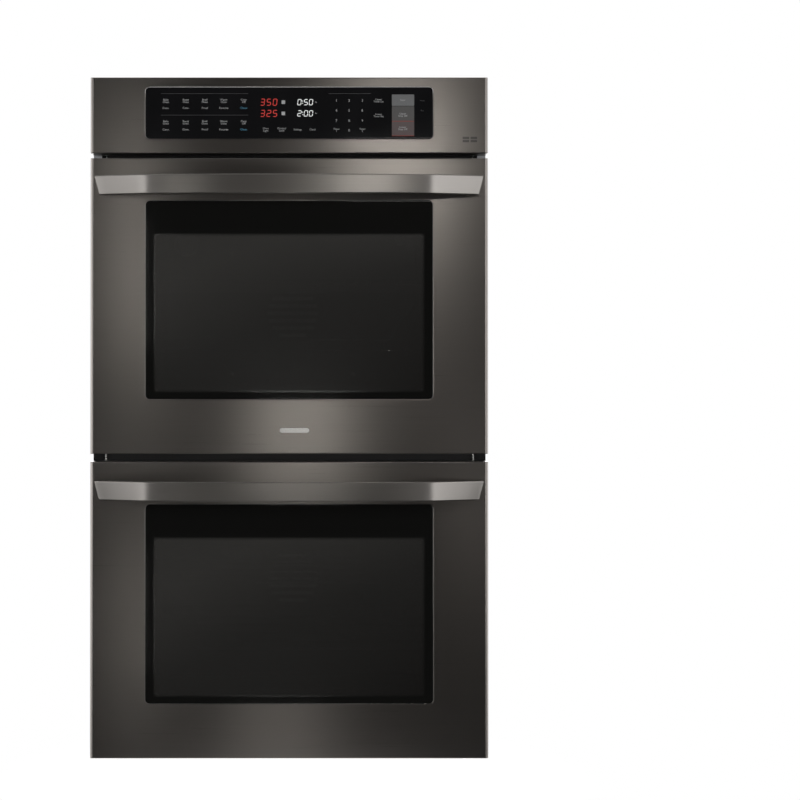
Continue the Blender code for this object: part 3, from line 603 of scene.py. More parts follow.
def hinge_notches(panel, low):
    """Cuts the two slots in a door panel's lower return that its hinge arms pass through when it is open."""
    blocks = bmesh.new()
    for sign in (-1, 1):
        block = bmesh.ops.create_cube(blocks, size=1.0)["verts"]
        bmesh.ops.scale(blocks, vec=(0.014, 0.040, 0.009), verts=block)
        bmesh.ops.translate(blocks, vec=(sign * 0.306, FACE - 0.011, low - 0.0005), verts=block)
    mesh = bpy.data.meshes.new("notch_blocks")
    blocks.to_mesh(mesh)
    blocks.free()
    tool = bpy.data.objects.new("notch_blocks", mesh)
    bpy.context.scene.collection.objects.link(tool)
    cut = panel.modifiers.new("notches", "BOOLEAN")
    cut.operation, cut.solver, cut.object = "DIFFERENCE", "EXACT", tool
    bpy.context.view_layer.update()
    notched = bpy.data.meshes.new_from_object(panel.evaluated_get(bpy.context.evaluated_depsgraph_get()))
    panel.modifiers.remove(cut)
    panel.data = notched
    notched.name = panel.name
    bpy.data.objects.remove(tool)


def handle_path(samples=90):
    """Plan of the handle's front face: a cubic bow in the middle and straight angled ends, joined by the
    smooth maximum of the two: their mean plus the root of half their difference squared plus a small
    square."""
    x = np.linspace(-HANDLE_REACH, HANDLE_REACH, 2 * samples + 1)
    reach = np.abs(x)
    bowed = -0.105 + 0.0085 * (reach / HANDLE_BEND) ** 3
    slope = (0.0360 - 0.0085) / (HANDLE_REACH - HANDLE_BEND)
    straight = -0.0965 + slope * (reach - HANDLE_BEND)
    return x, (bowed + straight) / 2 + np.sqrt(((bowed - straight) / 2) ** 2 + 0.0008**2)


def handle(side, z0):
    """Flat blade swept along its plan with small rounded edges, ends slanted by moving each point inwards
    in proportion to its depth below the top edge, and a solid foot behind each end."""
    x, front = handle_path()
    middle = (HANDLE_LOW + HANDLE_HIGH) / 2
    tall = (HANDLE_HIGH - HANDLE_LOW) / 2
    thick = 0.0052
    path = np.column_stack([x, front + thick, np.full(len(x), z0 + middle)])
    points, faces = swept(path, bar(thick, tall, 0.0016, 3), (0, 0, 1))
    reach = np.clip((np.abs(points[:, 0]) - HANDLE_BEND) / (HANDLE_REACH - HANDLE_BEND), 0.0, 1.1)
    drop = np.clip((z0 + HANDLE_HIGH - points[:, 2]) / (HANDLE_HIGH - HANDLE_LOW), 0.0, 1.0)
    points[:, 0] -= np.sign(points[:, 0]) * reach * drop * HANDLE_SLANT
    foot_low, foot_high = z0 + HANDLE_LOW + 0.002, z0 + HANDLE_HIGH - 0.002
    depths = ((-0.0660, 0.0), (-0.0520, 0.0), (-0.0506, 0.0), (-0.0503, 0.0006))
    feet = [skin([ring(0.0105 - shrink, foot_low + shrink, foot_high - shrink, 0.0030, y, 4, sign * 0.3480)
                  for y, shrink in depths]) for sign in (-1, 1)]
    joined = together([(points, faces), *feet])
    return put(side + "_handle", *joined, side + "_door", HANDLE, (side + "_door_handle",), smooth=30.0)


def door(side, z0):
    """Everything on one door: panel, window, handle, liner screws and the frame round the inner glass."""
    body = side + "_door"
    window = (WINDOW_HALF, z0 + WINDOW_LOW, z0 + WINDOW_HIGH)
    panel = folded_panel(side + "_front_panel", z0, z0 + DOOR_HEIGHT, window, body, STEEL,
                         (side + "_door_skin",))
    hinge_notches(panel, z0)
    pane = pillow(*window, GLASS_RADIUS, -0.0496, -0.0455, 0.0008, 6)
    put(side + "_window_pane", *pane, body, window_glass(side + "_window_glass", z0), (side + "_door_glass",))
    handle(side, z0)
    # screws along the liner's edge
    dome = [(0.0001, 0.0017), (0.0022, 0.0016), (0.0034, 0.0010), (0.0038, 0.0), (0.0001, 0.0)]
    screw = turned(dome, (0, DOOR_REAR, 0))
    places = [(x, 0.0, z0 + z) for x in (-0.352, 0.352) for z in (0.060, 0.200, 0.340, 0.480)]
    places += [(x, 0.0, z0 + 0.546) for x in (-0.24, -0.08, 0.08, 0.24)]
    put(side + "_liner_screws", *repeated(screw, places), body, BLACK_SCREW)
    # frame pressed round the inner glass
    lips = ((0.0005, -0.0024), (0.0010, -0.0012), (0.0060, -0.0010), (0.0080, -0.0016), (0.0086, -0.0024))
    rings = [ring(0.262 + grow, z0 + 0.112 - grow, z0 + 0.424 + grow, 0.006 + grow, y, 6) for grow, y in lips]
    put(side + "_inner_glass_frame", *skin(rings, closed=True), body, BLACK_SCREW)


def badge():
    """A plain blank badge: a rounded pill with a soft crown."""
    middle, z = 0.0100, 0.6225
    shape = pillow(0.0280, z - 0.0046, z + 0.0046, 0.0045, -0.0513, -0.0500, 0.0008, 8, middle=middle)
    put("blank_badge", *shape, "upper_door", BADGE)


def gasket(side, z0):
    """Braided tube round the cavity's mouth: a circle carried round a rounded rectangle."""
    half, low, high = 0.322, z0 + 0.047, z0 + 0.509
    path = ring(half, low, high, 0.024, -0.005, 10)
    path = softened(np.concatenate([path, path[:1]]), 0.008)[:-1]
    tube = swept(path, circle(0.0026, 12), (0, 1, 0), closed=True)
    put(side + "_door_seal", *tube, "oven", BRAID, (side + "_gasket",))
    clip = pillow(0.0060, -0.0030, 0.0030, 0.0012, -0.0026, -0.0017, 0.0004, 2)
    places = [(s * (half - 0.012), 0.0, z0 + z) for s in (-1, 1) for z in (0.12, 0.28, 0.44)]
    places += [(x, 0.0, z) for x in (-0.2, 0.0, 0.2) for z in (low - 0.011, high - 0.012)]
    put(side + "_seal_clips", *repeated(clip, places), "oven", SCREW)


# --------------------------------------------------------------- control panel


def words(text, size, x, z):
    """Flat letters at x and z, standing on the glass: points and triangles of the outline font."""
    curve = bpy.data.curves.new("label", "FONT")
    curve.body = text
    curve.size = size
    curve.resolution_u = 2
    curve.align_x = curve.align_y = "CENTER"
    curve.space_line = 0.85
    holder = bpy.data.objects.new("label", curve)
    mesh = bpy.data.meshes.new_from_object(holder)
    bpy.data.objects.remove(holder)
    mesh.calc_loop_triangles()
    flat = np.empty(len(mesh.vertices) * 3)
    mesh.vertices.foreach_get("co", flat)
    triangles = np.empty(len(mesh.loop_triangles) * 3, dtype=np.int64)
    mesh.loop_triangles.foreach_get("vertices", triangles)
    flat = flat.reshape(-1, 3)
    points = np.column_stack([flat[:, 0] + x, np.full(len(flat), PRINT_Y), flat[:, 1] + z])
    bpy.data.meshes.remove(mesh)
    return points, triangles.reshape(-1, 3).tolist()


PRINT_Y = -0.04962  # ink on the control glass
OVERPRINT = 0.00004  # ink on top of ink
KEYS_X, KEYS_HALF = 0.2165, 0.0212  # start and stop keys
SEGMENTS = {
    "0": "abcdef", "1": "bc", "2": "abged", "3": "abgcd", "4": "fgbc",
    "5": "afgcd", "6": "afgedc", "7": "abc", "8": "abcdefg", "9": "abcdfg",
}


def digit(character, x, z, wide, tall):
    """Seven-segment figure: each lit segment is a six-sided bar, leaning by its height."""
    thick = wide * 0.20
    half, mid = wide / 2, tall / 2
    bars = {
        "a": ((-half, mid), (half, mid)), "g": ((-half, 0.0), (half, 0.0)),
        "d": ((-half, -mid), (half, -mid)),
        "f": ((-half, 0.0), (-half, mid)), "b": ((half, 0.0), (half, mid)),
        "e": ((-half, -mid), (-half, 0.0)), "c": ((half, -mid), (half, 0.0)),
    }
    shapes = []
    for key in SEGMENTS[character]:
        start, stop = (np.array(p) for p in bars[key])
        run = (stop - start) / np.linalg.norm(stop - start)
        across = np.array((-run[1], run[0])) * thick / 2
        start, stop = start + run * thick * 0.18, stop - run * thick * 0.18
        flat = np.array([start, start + run * thick / 2 + across, stop - run * thick / 2 + across, stop,
                         stop - run * thick / 2 - across, start + run * thick / 2 - across])
        flat[:, 0] += flat[:, 1] * 0.12
        points = np.column_stack([flat[:, 0] + x, np.full(6, PRINT_Y), flat[:, 1] + z])
        shapes.append((points, [[5, 4, 3, 2, 1, 0]]))
    return together(shapes)


def plate(x, z, half_x, half_z, y=PRINT_Y, rounding=0.35):
    """A flat printed patch with small rounded corners."""
    flat, _ = outline(half_x, z - half_z, z + half_z, min(half_x, half_z) * rounding, 3, middle=x)
    return np.column_stack([flat[:, 0], np.full(len(flat), y), flat[:, 1]]), [list(range(len(flat)))]


def control_panel():
    """The fascia, its glass, and everything printed or lit on them."""
    folded_panel("fascia_panel", FASCIA_LOW, FASCIA_HIGH, (CONTROL_HALF, CONTROL_LOW, CONTROL_HIGH),
                 "oven", STEEL, ("control_fascia",))
    pane = pillow(CONTROL_HALF, CONTROL_LOW, CONTROL_HIGH, GLASS_RADIUS, -0.0496, -0.0465, 0.0008, 6)
    put("control_window", *pane, "oven", BLACK_GLASS, ("control_glass",))

    # mode keys: two blocks, one for each oven, each with two rows of five
    tops = [("Bake", -0.2347), ("Roast", -0.1967), ("Broil", -0.1606), ("Warm\nHold", -0.1245)]
    feet = [("Conv.", -0.2347), ("Conv.", -0.1967), ("Proof", -0.1606), ("Favorite", -0.1245)]
    marks, faint, blue = [], [], []
    for upper_row, lower_row in ((1.2490, 1.2355), (1.2080, 1.1945)):
        for text, x in tops:
            marks.append(words(text.split("\n")[0] + "\nOven", 0.0052, x, upper_row))
        for text, x in feet:
            marks.append(words(text, 0.0052, x, lower_row))
        marks.append(words("Clear\nOff", 0.0052, -0.0865, upper_row))
        blue.append(words("Clean", 0.0056, -0.0865, lower_row))
        faint.append(plate(-0.1610, upper_row + 0.0140, 0.0830, 0.0004))
    # displays
    red, white = [], []
    for row, temperature, clock in ((1.2467, "350", "050"), (1.2253, "325", "200")):
        red += [digit(c, -0.0505 + 0.0118 * i, row, 0.0068, 0.0118) for i, c in enumerate(temperature)]
        marks.append(plate(-0.0112, row, 0.0034, 0.0034))
        white += [digit(clock[0], 0.0195, row, 0.0062, 0.0104)]
        white += [digit(c, 0.0318 + 0.0096 * i, row, 0.0062, 0.0104) for i, c in enumerate(clock[1:])]
        white += [plate(0.0256, row + dz, 0.0008, 0.0008) for dz in (0.0022, -0.0022)]
        marks.append(words("hr", 0.0042, 0.0512, row))
    below = (("Oven\nLight", -0.0446), ("Control\nLock", -0.0142), ("Settings", 0.0160), ("Clock", 0.0446))
    for text, x in below:
        marks.append(words(text, 0.0050, x, 1.1945))
    # number keys
    for i, x in enumerate((0.0897, 0.1140, 0.1392)):
        for j, z in enumerate((1.2497, 1.2306, 1.2112)):
            marks.append(words(str(3 * j + i + 1), 0.0066, x, z))
    marks.append(words("0", 0.0066, 0.1140, 1.1928))
    marks.append(words("Timer\n1", 0.0046, 0.0897, 1.1935))
    marks.append(words("Timer\n2", 0.0046, 0.1392, 1.1935))
    marks.append(words("Upper\nTimer Set", 0.0048, 0.1700, 1.2497))
    marks.append(words("Lower\nTimer Set", 0.0048, 0.1700, 1.2216))
    # start and stop keys
    keys = (("start_key", 1.2505, 0.0108, KEY_GREY), ("upper_stop_key", 1.2250, 0.0140, KEY_DARK),
            ("lower_stop_key", 1.1970, 0.0135, KEY_WARM))
    for name, z, tall, finish in keys:
        put(name, *plate(KEYS_X, z, KEYS_HALF, tall, rounding=0.1), "oven", finish, closed=False)
    for text, z in (("Start", 1.2505), ("Upper\nStop Off", 1.2225), ("Lower\nStop Off", 1.1970)):
        shape = words(text, 0.0050, 0.2160, z)
        shape[0][:, 1] -= OVERPRINT
        marks.append(shape)
    lines = together([plate(KEYS_X, z, KEYS_HALF, 0.0006) for z in (1.2104, 1.1829)])
    lines[0][:, 1] -= OVERPRINT
    faint += [words("Heat", 0.0044, 0.2530, 1.2497), words("Fan", 0.0044, 0.2530, 1.2306)]
    faint += [plate(0.1150, 1.2630, 0.0400, 0.0004)]
    put("key_labels", *together(marks), "oven", INK, closed=False)
    put("faint_labels", *together(faint), "oven", FAINT_INK, closed=False)
    put("clean_labels", *together(blue), "oven", BLUE_INK, closed=False)
    put("stop_key_border", *lines, "oven", KEY_RED, closed=False)
    corner = [plate(x, z, 0.0062, 0.0022, DOOR_FRONT - 0.00006)
              for x in (0.336, 0.351) for z in (1.1725, 1.1785)]
    put("corner_marks", *together(corner), "oven", FAINT_MARK, closed=False)
    put("temperature_display", *together(red), "oven", RED_LIGHT, closed=False)
    put("clock_display", *together(white), "oven", WHITE_LIGHT, closed=False)


# ------------------------------------------------------------------ inside ovens


def wire_rack(side, level, z0):
    """Chromed wire rack: a rounded border rod, wires front to back turned up at the rear, and cross rods."""
    z = z0 + CAVITY_FLOOR + RACK_LEVELS[level]
    shapes = []
    border = ring(0.3000, 0.0250, 0.4440, 0.018, 0.0, 6)
    border = np.column_stack([border[:, 0], border[:, 2], np.full(len(border), z + 0.0030)])
    shapes.append(swept(border, circle(0.0029, 10), (0, 0, 1), closed=True))
    bend = arc((0.4380, z + 0.0100), 0.0050, -math.pi / 2, 0.0, 5)
    wire = [(0.0, 0.0270, z + 0.0052), (0.0, 0.0500, z + 0.0052), (0.0, 0.4300, z + 0.0052)]
    wire += [(0.0, y, h) for y, h in bend] + [(0.0, 0.4430, z + 0.0280)]
    one = swept(np.array(wire), circle(0.0016, 7), (1, 0, 0))
    shapes.append(repeated(one, [(x, 0.0, 0.0) for x in np.linspace(-0.286, 0.286, 27)]))
    rods = [(y, 0.0025, 0.0024) for y in (0.130, 0.235, 0.340)] + [(0.4430, 0.0270, 0.0027)]
    for y, h, radius in rods:
        rod = np.column_stack([np.linspace(-0.2995, 0.2995, 3), np.full(3, y), np.full(3, z + h)])
        shapes.append(swept(rod, circle(radius, 9), (0, 0, 1)))
    for x in (-0.2995, 0.2995):
        post = np.array([(x, 0.4400, z + 0.0030), (x, 0.4430, z + 0.0100), (x, 0.4430, z + 0.0270)])
        shapes.append(swept(post, circle(0.0026, 9), (1, 0, 0)))
    body = side + "_" + level + "_rack"
    put(body + "_wires", *together(shapes), body, CHROME, (body,))


def broil(side, z0):
    """Sheathed element folded back and forth under the roof, with its clips."""
    z = z0 + BROIL_HEIGHT
    points = [(-0.200, 0.530), (-0.200, 0.100)]
    for step in range(5):
        ahead = step % 2 == 0
        centre = (-0.160 + 0.080 * step, 0.100 if ahead else 0.380)
        points += arc(centre, 0.040, math.pi, 2 * math.pi if ahead else 0.0, 14).tolist()
    points.append((0.200, 0.530))
    flat = np.array(points)
    path = clean_path(np.column_stack([flat, np.full(len(flat), z)]))
    coil = swept(path, circle(0.0034, 12), (0, 0, 1))
    put(side + "_broil_coil", *coil, "oven", ELEMENT, (side + "_broil_element",))
    clip = np.array([(-0.205, 0.0, 0.0), (0.205, 0.0, 0.0)])
    shapes = []
    for y in (0.165, 0.320):
        rail = clip + (0.0, y, z + 0.0052)
        shapes.append(swept(rail, bar(0.0045, 0.0008, 0.0004, 2), (0, 0, 1)))
        for x in (-0.205, 0.0, 0.205):
            post = np.array([(x, y, z + 0.0050), (x, y, z + 0.0215)])
            shapes.append(swept(post, circle(0.0022, 8), (0, 1, 0)))
    put(side + "_broil_clips", *together(shapes), "oven", SPRING)


def ring_element(side, z0):
    """Convection element: most of a circle behind the fan cover with two legs through the back."""
    centre = z0 + FAN_HEIGHT
    gap = math.asin(0.18) + 0.14
    round_part = arc((0.0, centre), 0.100, -math.pi / 2 + gap, 1.5 * math.pi - gap, 48)
    leg = centre - 0.098
    path = [(0.018, 0.530, leg), (0.018, 0.484, leg), (0.021, 0.479, leg), (0.026, 0.478, leg + 0.0015)]
    path += [(x, 0.478, z) for x, z in round_part]
    path += [(-0.026, 0.478, leg + 0.0015), (-0.021, 0.479, leg), (-0.018, 0.484, leg), (-0.018, 0.530, leg)]
    coil = swept(clean_path(path), circle(0.0031, 10), (0.02, 0.05, 1.0))
    put(side + "_convection_coil", *coil, "oven", ELEMENT, (side + "_convection_element",))


def lamp(side, z0):
    """Pressed glass lens with a ribbed dome, in a ceramic holder with a bright rim."""
    centre = (LAMP_X, 0.0, z0 + LAMP_HEIGHT)
    dome = [(0.0225 * math.cos(a) + 0.00005, 0.497 - 0.0165 * math.sin(a))
            for a in np.linspace(0.0, 1.0, 10) * math.pi / 2]
    profile = [(0.0001, 0.4985), (0.0225, 0.4985), *dome]
    points, faces = turned(profile, centre, sides=48)
    across, up = points[:, 0] - centre[0], points[:, 2] - centre[2]
    points[:, 1] -= 0.0006 * np.cos(np.arctan2(up, across) * 16) * (np.hypot(across, up) > 0.006)
    put(side + "_lamp_lens", points, faces, "oven", LAMP_GLASS, (side + "_lamp",))
    rim = [(0.0228, 0.4980), (0.0230, 0.4955), (0.0262, 0.4950), (0.0275, 0.4962), (0.0275, 0.4980)]
    points, faces = turned(rim + [rim[0]], centre, sides=36)
    put(side + "_lamp_rim", points, faces[:-2], "oven", SCREW)
    holder = [(0.0001, 0.5450), (0.0240, 0.5450), (0.0300, 0.5400), (0.0300, 0.5010), (0.0180, 0.5010),
              (0.0001, 0.5010)]
    put(side + "_lamp_holder", *turned(holder, centre, sides=32), "oven", CERAMIC)


def fan_cover_trim(side, z0):
    """Raised ring round the fan cover's grille, and its four screws."""
    z = z0 + FAN_HEIGHT
    angle = np.linspace(0.0, 2 * math.pi, 65)[:-1]
    path = np.column_stack([0.072 * np.cos(angle), np.full(64, 0.4546), z + 0.072 * np.sin(angle)])
    put(side + "_grille_ring", *swept(path, circle(0.0022, 8), (0, 1, 0), closed=True), "oven", ENAMEL)
    head = [(0.0001, 0.4526), (0.0026, 0.4528), (0.0040, 0.4542), (0.0040, 0.4555), (0.0001, 0.4555)]
    screw = turned(head, (0, 0, z), sides=16)
    places = [(x, 0.0, h) for x in (-0.132, 0.132) for h in (-0.132, 0.132)]
    put(side + "_cover_screws", *repeated(screw, places), "oven", SCREW)


def probe(side, z0):
    """Temperature probe: a thin rod from the back wall held by a bent clip."""
    x, z = 0.235, z0 + 0.440
    path = np.array([(x, 0.4985, z), (x, 0.470, z), (x, 0.400, z), (x, 0.372, z)])
    rod = swept(path, circle(0.0026, 10), (0, 0, 1))
    washer = [(0.0001, 0.4980), (0.0120, 0.4980), (0.0120, 0.4962), (0.0001, 0.4960)]
    flange = turned(washer, (x, 0, z), sides=20)
    put(side + "_temperature_probe", *together([rod, flange]), "oven", SPRING)


def wheel(name, body, centre, replaces):
    """Convection fan wheel: a dished disc with curved blades, each a strip swept along an arc."""
    disc = [(0.0001, 0.4862), (0.020, 0.4862), (0.069, 0.4868), (0.0695, 0.4880), (0.020, 0.4878),
            (0.0001, 0.4878)]
    hub = [(0.0001, 0.4700), (0.0045, 0.4702), (0.0060, 0.4720), (0.0060, 0.4865), (0.0001, 0.4865)]
    shaft = [(0.0001, 0.4870), (0.0039, 0.4870), (0.0039, 0.5240), (0.0001, 0.5240)]
    shapes = [turned(profile, (0, 0, centre), sides=sides)
              for profile, sides in ((disc, 48), (hub, 20), (shaft, 16))]
    bend = arc((0.030, -0.030), 0.042, math.radians(130), math.radians(38), 7)
    bend = bend - bend[0] + (0.016, 0.0)
    for turn in np.arange(10) * (2 * math.pi / 10):
        spin = np.array([(math.cos(turn), -math.sin(turn)), (math.sin(turn), math.cos(turn))])
        flat = bend @ spin.T
        path = np.column_stack([flat[:, 0], np.full(len(flat), 0.4790), flat[:, 1] + centre])
        shapes.append(swept(path, bar(0.0005, 0.0075, 0.0003, 1), (0, 1, 0)))
    put(name, *together(shapes), body, MOTOR, replaces)


# ---------------------------------------------------------------------- chassis


def gap_trims():
    """What shows in the gaps between the fronts: a black baffle behind each, with two thin bare edges at the
    sides of the lower gap and the folded ends of the air duct's lip at the sides of the upper one."""
    low, high = DOOR_BOTTOMS["lower"] + DOOR_HEIGHT, DOOR_BOTTOMS["upper"]
    tick = pillow(0.0014, low - 0.010, high + 0.010, 0.0004, -0.0042, -0.0032, 0.0002, 2)
    put("divider_edges", *repeated(tick, [(s * 0.3530, 0.0, 0.0) for s in (-1, 1)]), "oven", SCREW)
    strip = pillow(0.3525, low - 0.0120, high + 0.0120, 0.0006, 0.0030, 0.0040, 0.0003, 2)
    put("divider_baffle", *strip, "oven", BLACK_PAINT)
    top = DOOR_BOTTOMS["upper"] + DOOR_HEIGHT
    end = pillow(0.0080, top + 0.0040, top + 0.0150, 0.0008, -0.0042, -0.0032, 0.0003, 2)
    put("duct_lip_ends", *repeated(end, [(s * 0.3695, 0.0, 0.0) for s in (-1, 1)]), "oven", ZINC)
    strip = pillow(0.3525, top - 0.0060, top + 0.0160, 0.0006, 0.0030, 0.0040, 0.0003, 2)
    put("air_outlet_baffle", *strip, "oven", BLACK_PAINT)


def louvre_hoods():
    """Half-round hoods over the slots in the side panels: a half ellipse carried up the slot with tapered
    ends."""
    tall = np.linspace(0.0, 1.0, 9)
    taper = np.sin(tall * math.pi) ** 0.35
    angle = np.linspace(0.0, math.pi, 8)
    for sign, label in ((-1, "left"), (1, "right")):
        rings = np.stack([
            np.column_stack([
                sign * (0.3548 + 0.0042 * t * np.sin(angle) + 0.0001),
                0.0055 * np.cos(angle) * (0.4 + 0.6 * t),
                np.full(8, 1.1500 + 0.085 * h),
            ])
            for h, t in zip(tall, taper)
        ])
        hood = skin(rings)
        places = [(0.0, 0.3270 + 0.03 * i, 0.0) for i in range(8)]
        put(label + "_louvres", *repeated(hood, places), "oven", ZINC)


def side_ribs():
    """Pressed stiffening ribs on the side panels: a shallow rounded bead round each half."""
    for sign, label in ((-1, "left"), (1, "right")):
        shapes = []
        for low, high in ((0.060, 0.560), (0.620, 1.110)):
            loop = ring(0.235, low, high, 0.03, 0.0, 8)
            loop = np.column_stack([np.full(len(loop), sign * 0.3548), loop[:, 0] + 0.300, loop[:, 2]])
            shapes.append(swept(loop, bar(0.0075, 0.0021, 0.0020, 5), (1, 0, 0), closed=True))
        put(label + "_ribs", *together(shapes), "oven", ZINC)


def chassis_screws():
    """Hex washer screws: a turned washer and a six-sided head."""
    washer = [(0.0001, 0.0), (0.0058, 0.0), (0.0056, 0.0008), (0.0040, 0.0011), (0.0001, 0.0011)]
    head = [(0.0001, 0.0), (0.0040, 0.0), (0.0040, 0.0026), (0.0033, 0.0032), (0.0001, 0.0032)]

    def hex_screw(seat, axis, sign=1):
        return together([turned([(r, sign * (seat + h)) for r, h in profile], (0, 0, 0), axis, sides)
                         for profile, sides in ((washer, 20), (head, 6))])

    for sign, label in ((-1, "left"), (1, "right")):
        one = hex_screw(0.3550, "x", sign)
        places = [(0.0, y, z) for y in (0.025, 0.575) for z in (0.030, 0.330, 0.600, 0.900, 1.130, 1.255)]
        places += [(0.0, y, z) for y in (0.20, 0.40) for z in (0.012, 1.262)]
        put(label + "_panel_screws", *repeated(one, places), "oven", SCREW, smooth=25.0)
    one = hex_screw(1.2710, "z")
    places = [(x, y, 0.0) for x in (-0.335, -0.12, 0.12, 0.335) for y in (0.020, 0.575)]
    put("top_panel_screws", *repeated(one, places), "oven", SCREW, smooth=25.0)
    # cabinet screws behind the doors
    pan = [(0.0001, -0.0022), (0.0022, -0.0021), (0.0040, -0.0012), (0.0044, 0.0), (0.0001, 0.0)]
    one = turned(pan, (0, 0, 0), "y", 18)
    places = [(s * 0.3625, 0.0, z) for s in (-1, 1) for z in (0.100, 0.500, 0.700, 1.100)]
    put("cabinet_screws", *repeated(one, places), "oven", BLACK_SCREW)


def rear_details():
    """Conduit bushing in the knock-out, and recessed screws set flush in the rear panel."""
    bush = [(0.0095, 0.5915), (0.0155, 0.5915), (0.0157, 0.5905), (0.0157, 0.5860), (0.0108, 0.5850),
            (0.0095, 0.5850), (0.0095, 0.5915)]
    points, faces = turned(bush, (0.245, 0, 1.215), sides=32)
    put("conduit_bush", points, faces[:-2], "oven", BLACK_SCREW)
    flush = [(0.0001, 0.59146), (0.0028, 0.59150), (0.0044, 0.59150), (0.0050, 0.5913), (0.0050, 0.5905),
             (0.0001, 0.5905)]
    one = turned(flush, (0, 0, 0), "y", 20)
    places = [(x, 0.0, z) for x in (-0.342, 0.0, 0.342) for z in (0.015, 0.300, 0.590, 0.880, 1.255)]
    put("rear_panel_screws", *repeated(one, places), "oven", SCREW)


def finished_copy(node, body, finish, width):
    """A CAD node as one clean surface: its triangles merged, flats dissolved and edges eased."""
    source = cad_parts[node]
    bm = bmesh.new()
    bm.from_mesh(source.data)
    bm.transform(source.matrix_world)
    bmesh.ops.remove_doubles(bm, verts=bm.verts, dist=2e-6)
    bmesh.ops.dissolve_limit(bm, angle_limit=math.radians(0.5), verts=bm.verts, edges=bm.edges)
    mesh = bpy.data.meshes.new(node + "_finished")
    bm.to_mesh(mesh)
    bm.free()
    mesh.materials.append(finish)
    mesh.shade_smooth()
    mesh.set_sharp_from_angle(angle=math.radians(38.0))
    piece = bpy.data.objects.new(node + "_finished", mesh)
    bpy.context.scene.collection.objects.link(piece)
    if width:
        edge = piece.modifiers.new("eased edges", "BEVEL")
        edge.width = width
        edge.segments = 2
        edge.limit_method = "ANGLE"
        edge.angle_limit = math.radians(38.0)
        edge.harden_normals = True
        edge.use_clamp_overlap = True
    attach(piece, body)
    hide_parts(node)
    return piece


def carry_over():
    """Finishes for the CAD nodes that show as they are."""
    finishes = {
        "base_pan": ZINC, "left_side_panel": FLANGED_ZINC, "right_side_panel": FLANGED_ZINC,
        "rear_panel": ZINC, "top_panel": ZINC, "air_duct": BLACK_PAINT, "centre_divider": BLACK_PAINT,
        "junction_box": ZINC_DARK, "control_board": BOARD, "blower_wheel": MOTOR,
    }
    each_oven = {
        "insulation": WOOL, "bake_element": ELEMENT, "fan_motor": MOTOR, "latch_motor": MOTOR,
        "latch_hook": SPRING, "hinge_spring_left": SPRING, "hinge_spring_right": SPRING,
        "door_frame": ZINC_DARK, "door_inner_glass": INNER_GLASS,
    }
    for side in DOOR_BOTTOMS:
        finishes.update({side + "_" + part: finish for part, finish in each_oven.items()})
    for node, finish in finishes.items():
        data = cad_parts[node].data
        data.materials.clear()
        data.materials.append(finish)


# ----------------------------------------------------------------------- studio


def stage_piece(name, points, faces):
    """Part of the pale stage, lit a little from within so that it stays white."""
    mesh = bpy.data.meshes.new(name)
    mesh.from_pydata(points, [], faces)
    piece = bpy.data.objects.new(name, mesh)
    bpy.context.scene.collection.objects.link(piece)
    finish = Finish(name, Base_Color=(0.50, 0.50, 0.50, 1.0), Roughness=0.9, Specular_IOR_Level=0.1,
                    Emission_Color=(1.0, 1.0, 1.0, 1.0), Emission_Strength=0.80)
    mesh.materials.append(finish.material)
    return piece


def light(name, place, target, size, power, colour):
    """A soft square light at place that faces target."""
    data = bpy.data.lights.new(name, "AREA")
    data.shape = "RECTANGLE"
    data.size, data.size_y = size
    data.energy = power
    data.color = colour
    holder = bpy.data.objects.new(name, data)
    holder.location = place
    holder.rotation_euler = (Vector(target) - Vector(place)).to_track_quat("-Z", "Y").to_euler()
    holder.visible_camera = False
    bpy.context.scene.collection.objects.link(holder)


def floor():
    """A wide pale disc that fades out far from the oven, and a pale stand set back under it."""
    level = -0.120
    angle = np.arange(96) * (2 * math.pi / 96)
    rim = np.column_stack([6.0 * np.cos(angle), 6.0 * np.sin(angle), np.full(96, level)])
    disc = stage_piece("floor", rim.tolist(), [list(range(96))])
    tree = disc.data.materials[0].node_tree
    coordinates = tree.nodes.new("ShaderNodeTexCoord")
    length = tree.nodes.new("ShaderNodeVectorMath")
    length.operation = "LENGTH"
    tree.links.new(coordinates.outputs["Object"], length.inputs[0])
    fade = tree.nodes.new("ShaderNodeMapRange")
    fade.interpolation_type = "SMOOTHSTEP"
    fade.inputs["From Min"].default_value = 0.36
    fade.inputs["From Max"].default_value = 0.66
    tree.links.new(length.outputs["Value"], fade.inputs["Value"])
    clear = tree.nodes.new("ShaderNodeBsdfTransparent")
    mix = tree.nodes.new("ShaderNodeMixShader")
    tree.links.new(fade.outputs["Result"], mix.inputs["Fac"])
    tree.links.new(tree.nodes["Principled BSDF"].outputs["BSDF"], mix.inputs[1])
    tree.links.new(clear.outputs["BSDF"], mix.inputs[2])
    tree.links.new(mix.outputs["Shader"], tree.nodes["Material Output"].inputs["Surface"])
    x, y0, y1, top = 0.335, FACE + 0.020, FACE + 0.570, -0.0006
    corners = [(sx * x, y, z) for z in (level, top) for sx, y in ((-1, y0), (1, y0), (1, y1), (-1, y1))]
    stage_piece("plinth", corners, [(0, 1, 5, 4), (1, 2, 6, 5), (2, 3, 7, 6), (3, 0, 4, 7), (4, 5, 6, 7)])


AMBIENT = 0.010
FRONT = FACE - 0.05
WARM = (1.0, 0.97, 0.93)
REACH, EYE, ASIDE = 3.40, 0.770, 0.054  # the camera: distance, height, and how far right of the middle


def facing(x, z, distance=1.20):
    """Where a small light stands so that the front shows its glow at x, z: on the camera's ray, mirrored."""
    grow = 1.0 + distance / REACH
    return (ASIDE + (x - ASIDE) * grow, FRONT - distance, EYE + (z - EYE) * grow), (x, FRONT, z)


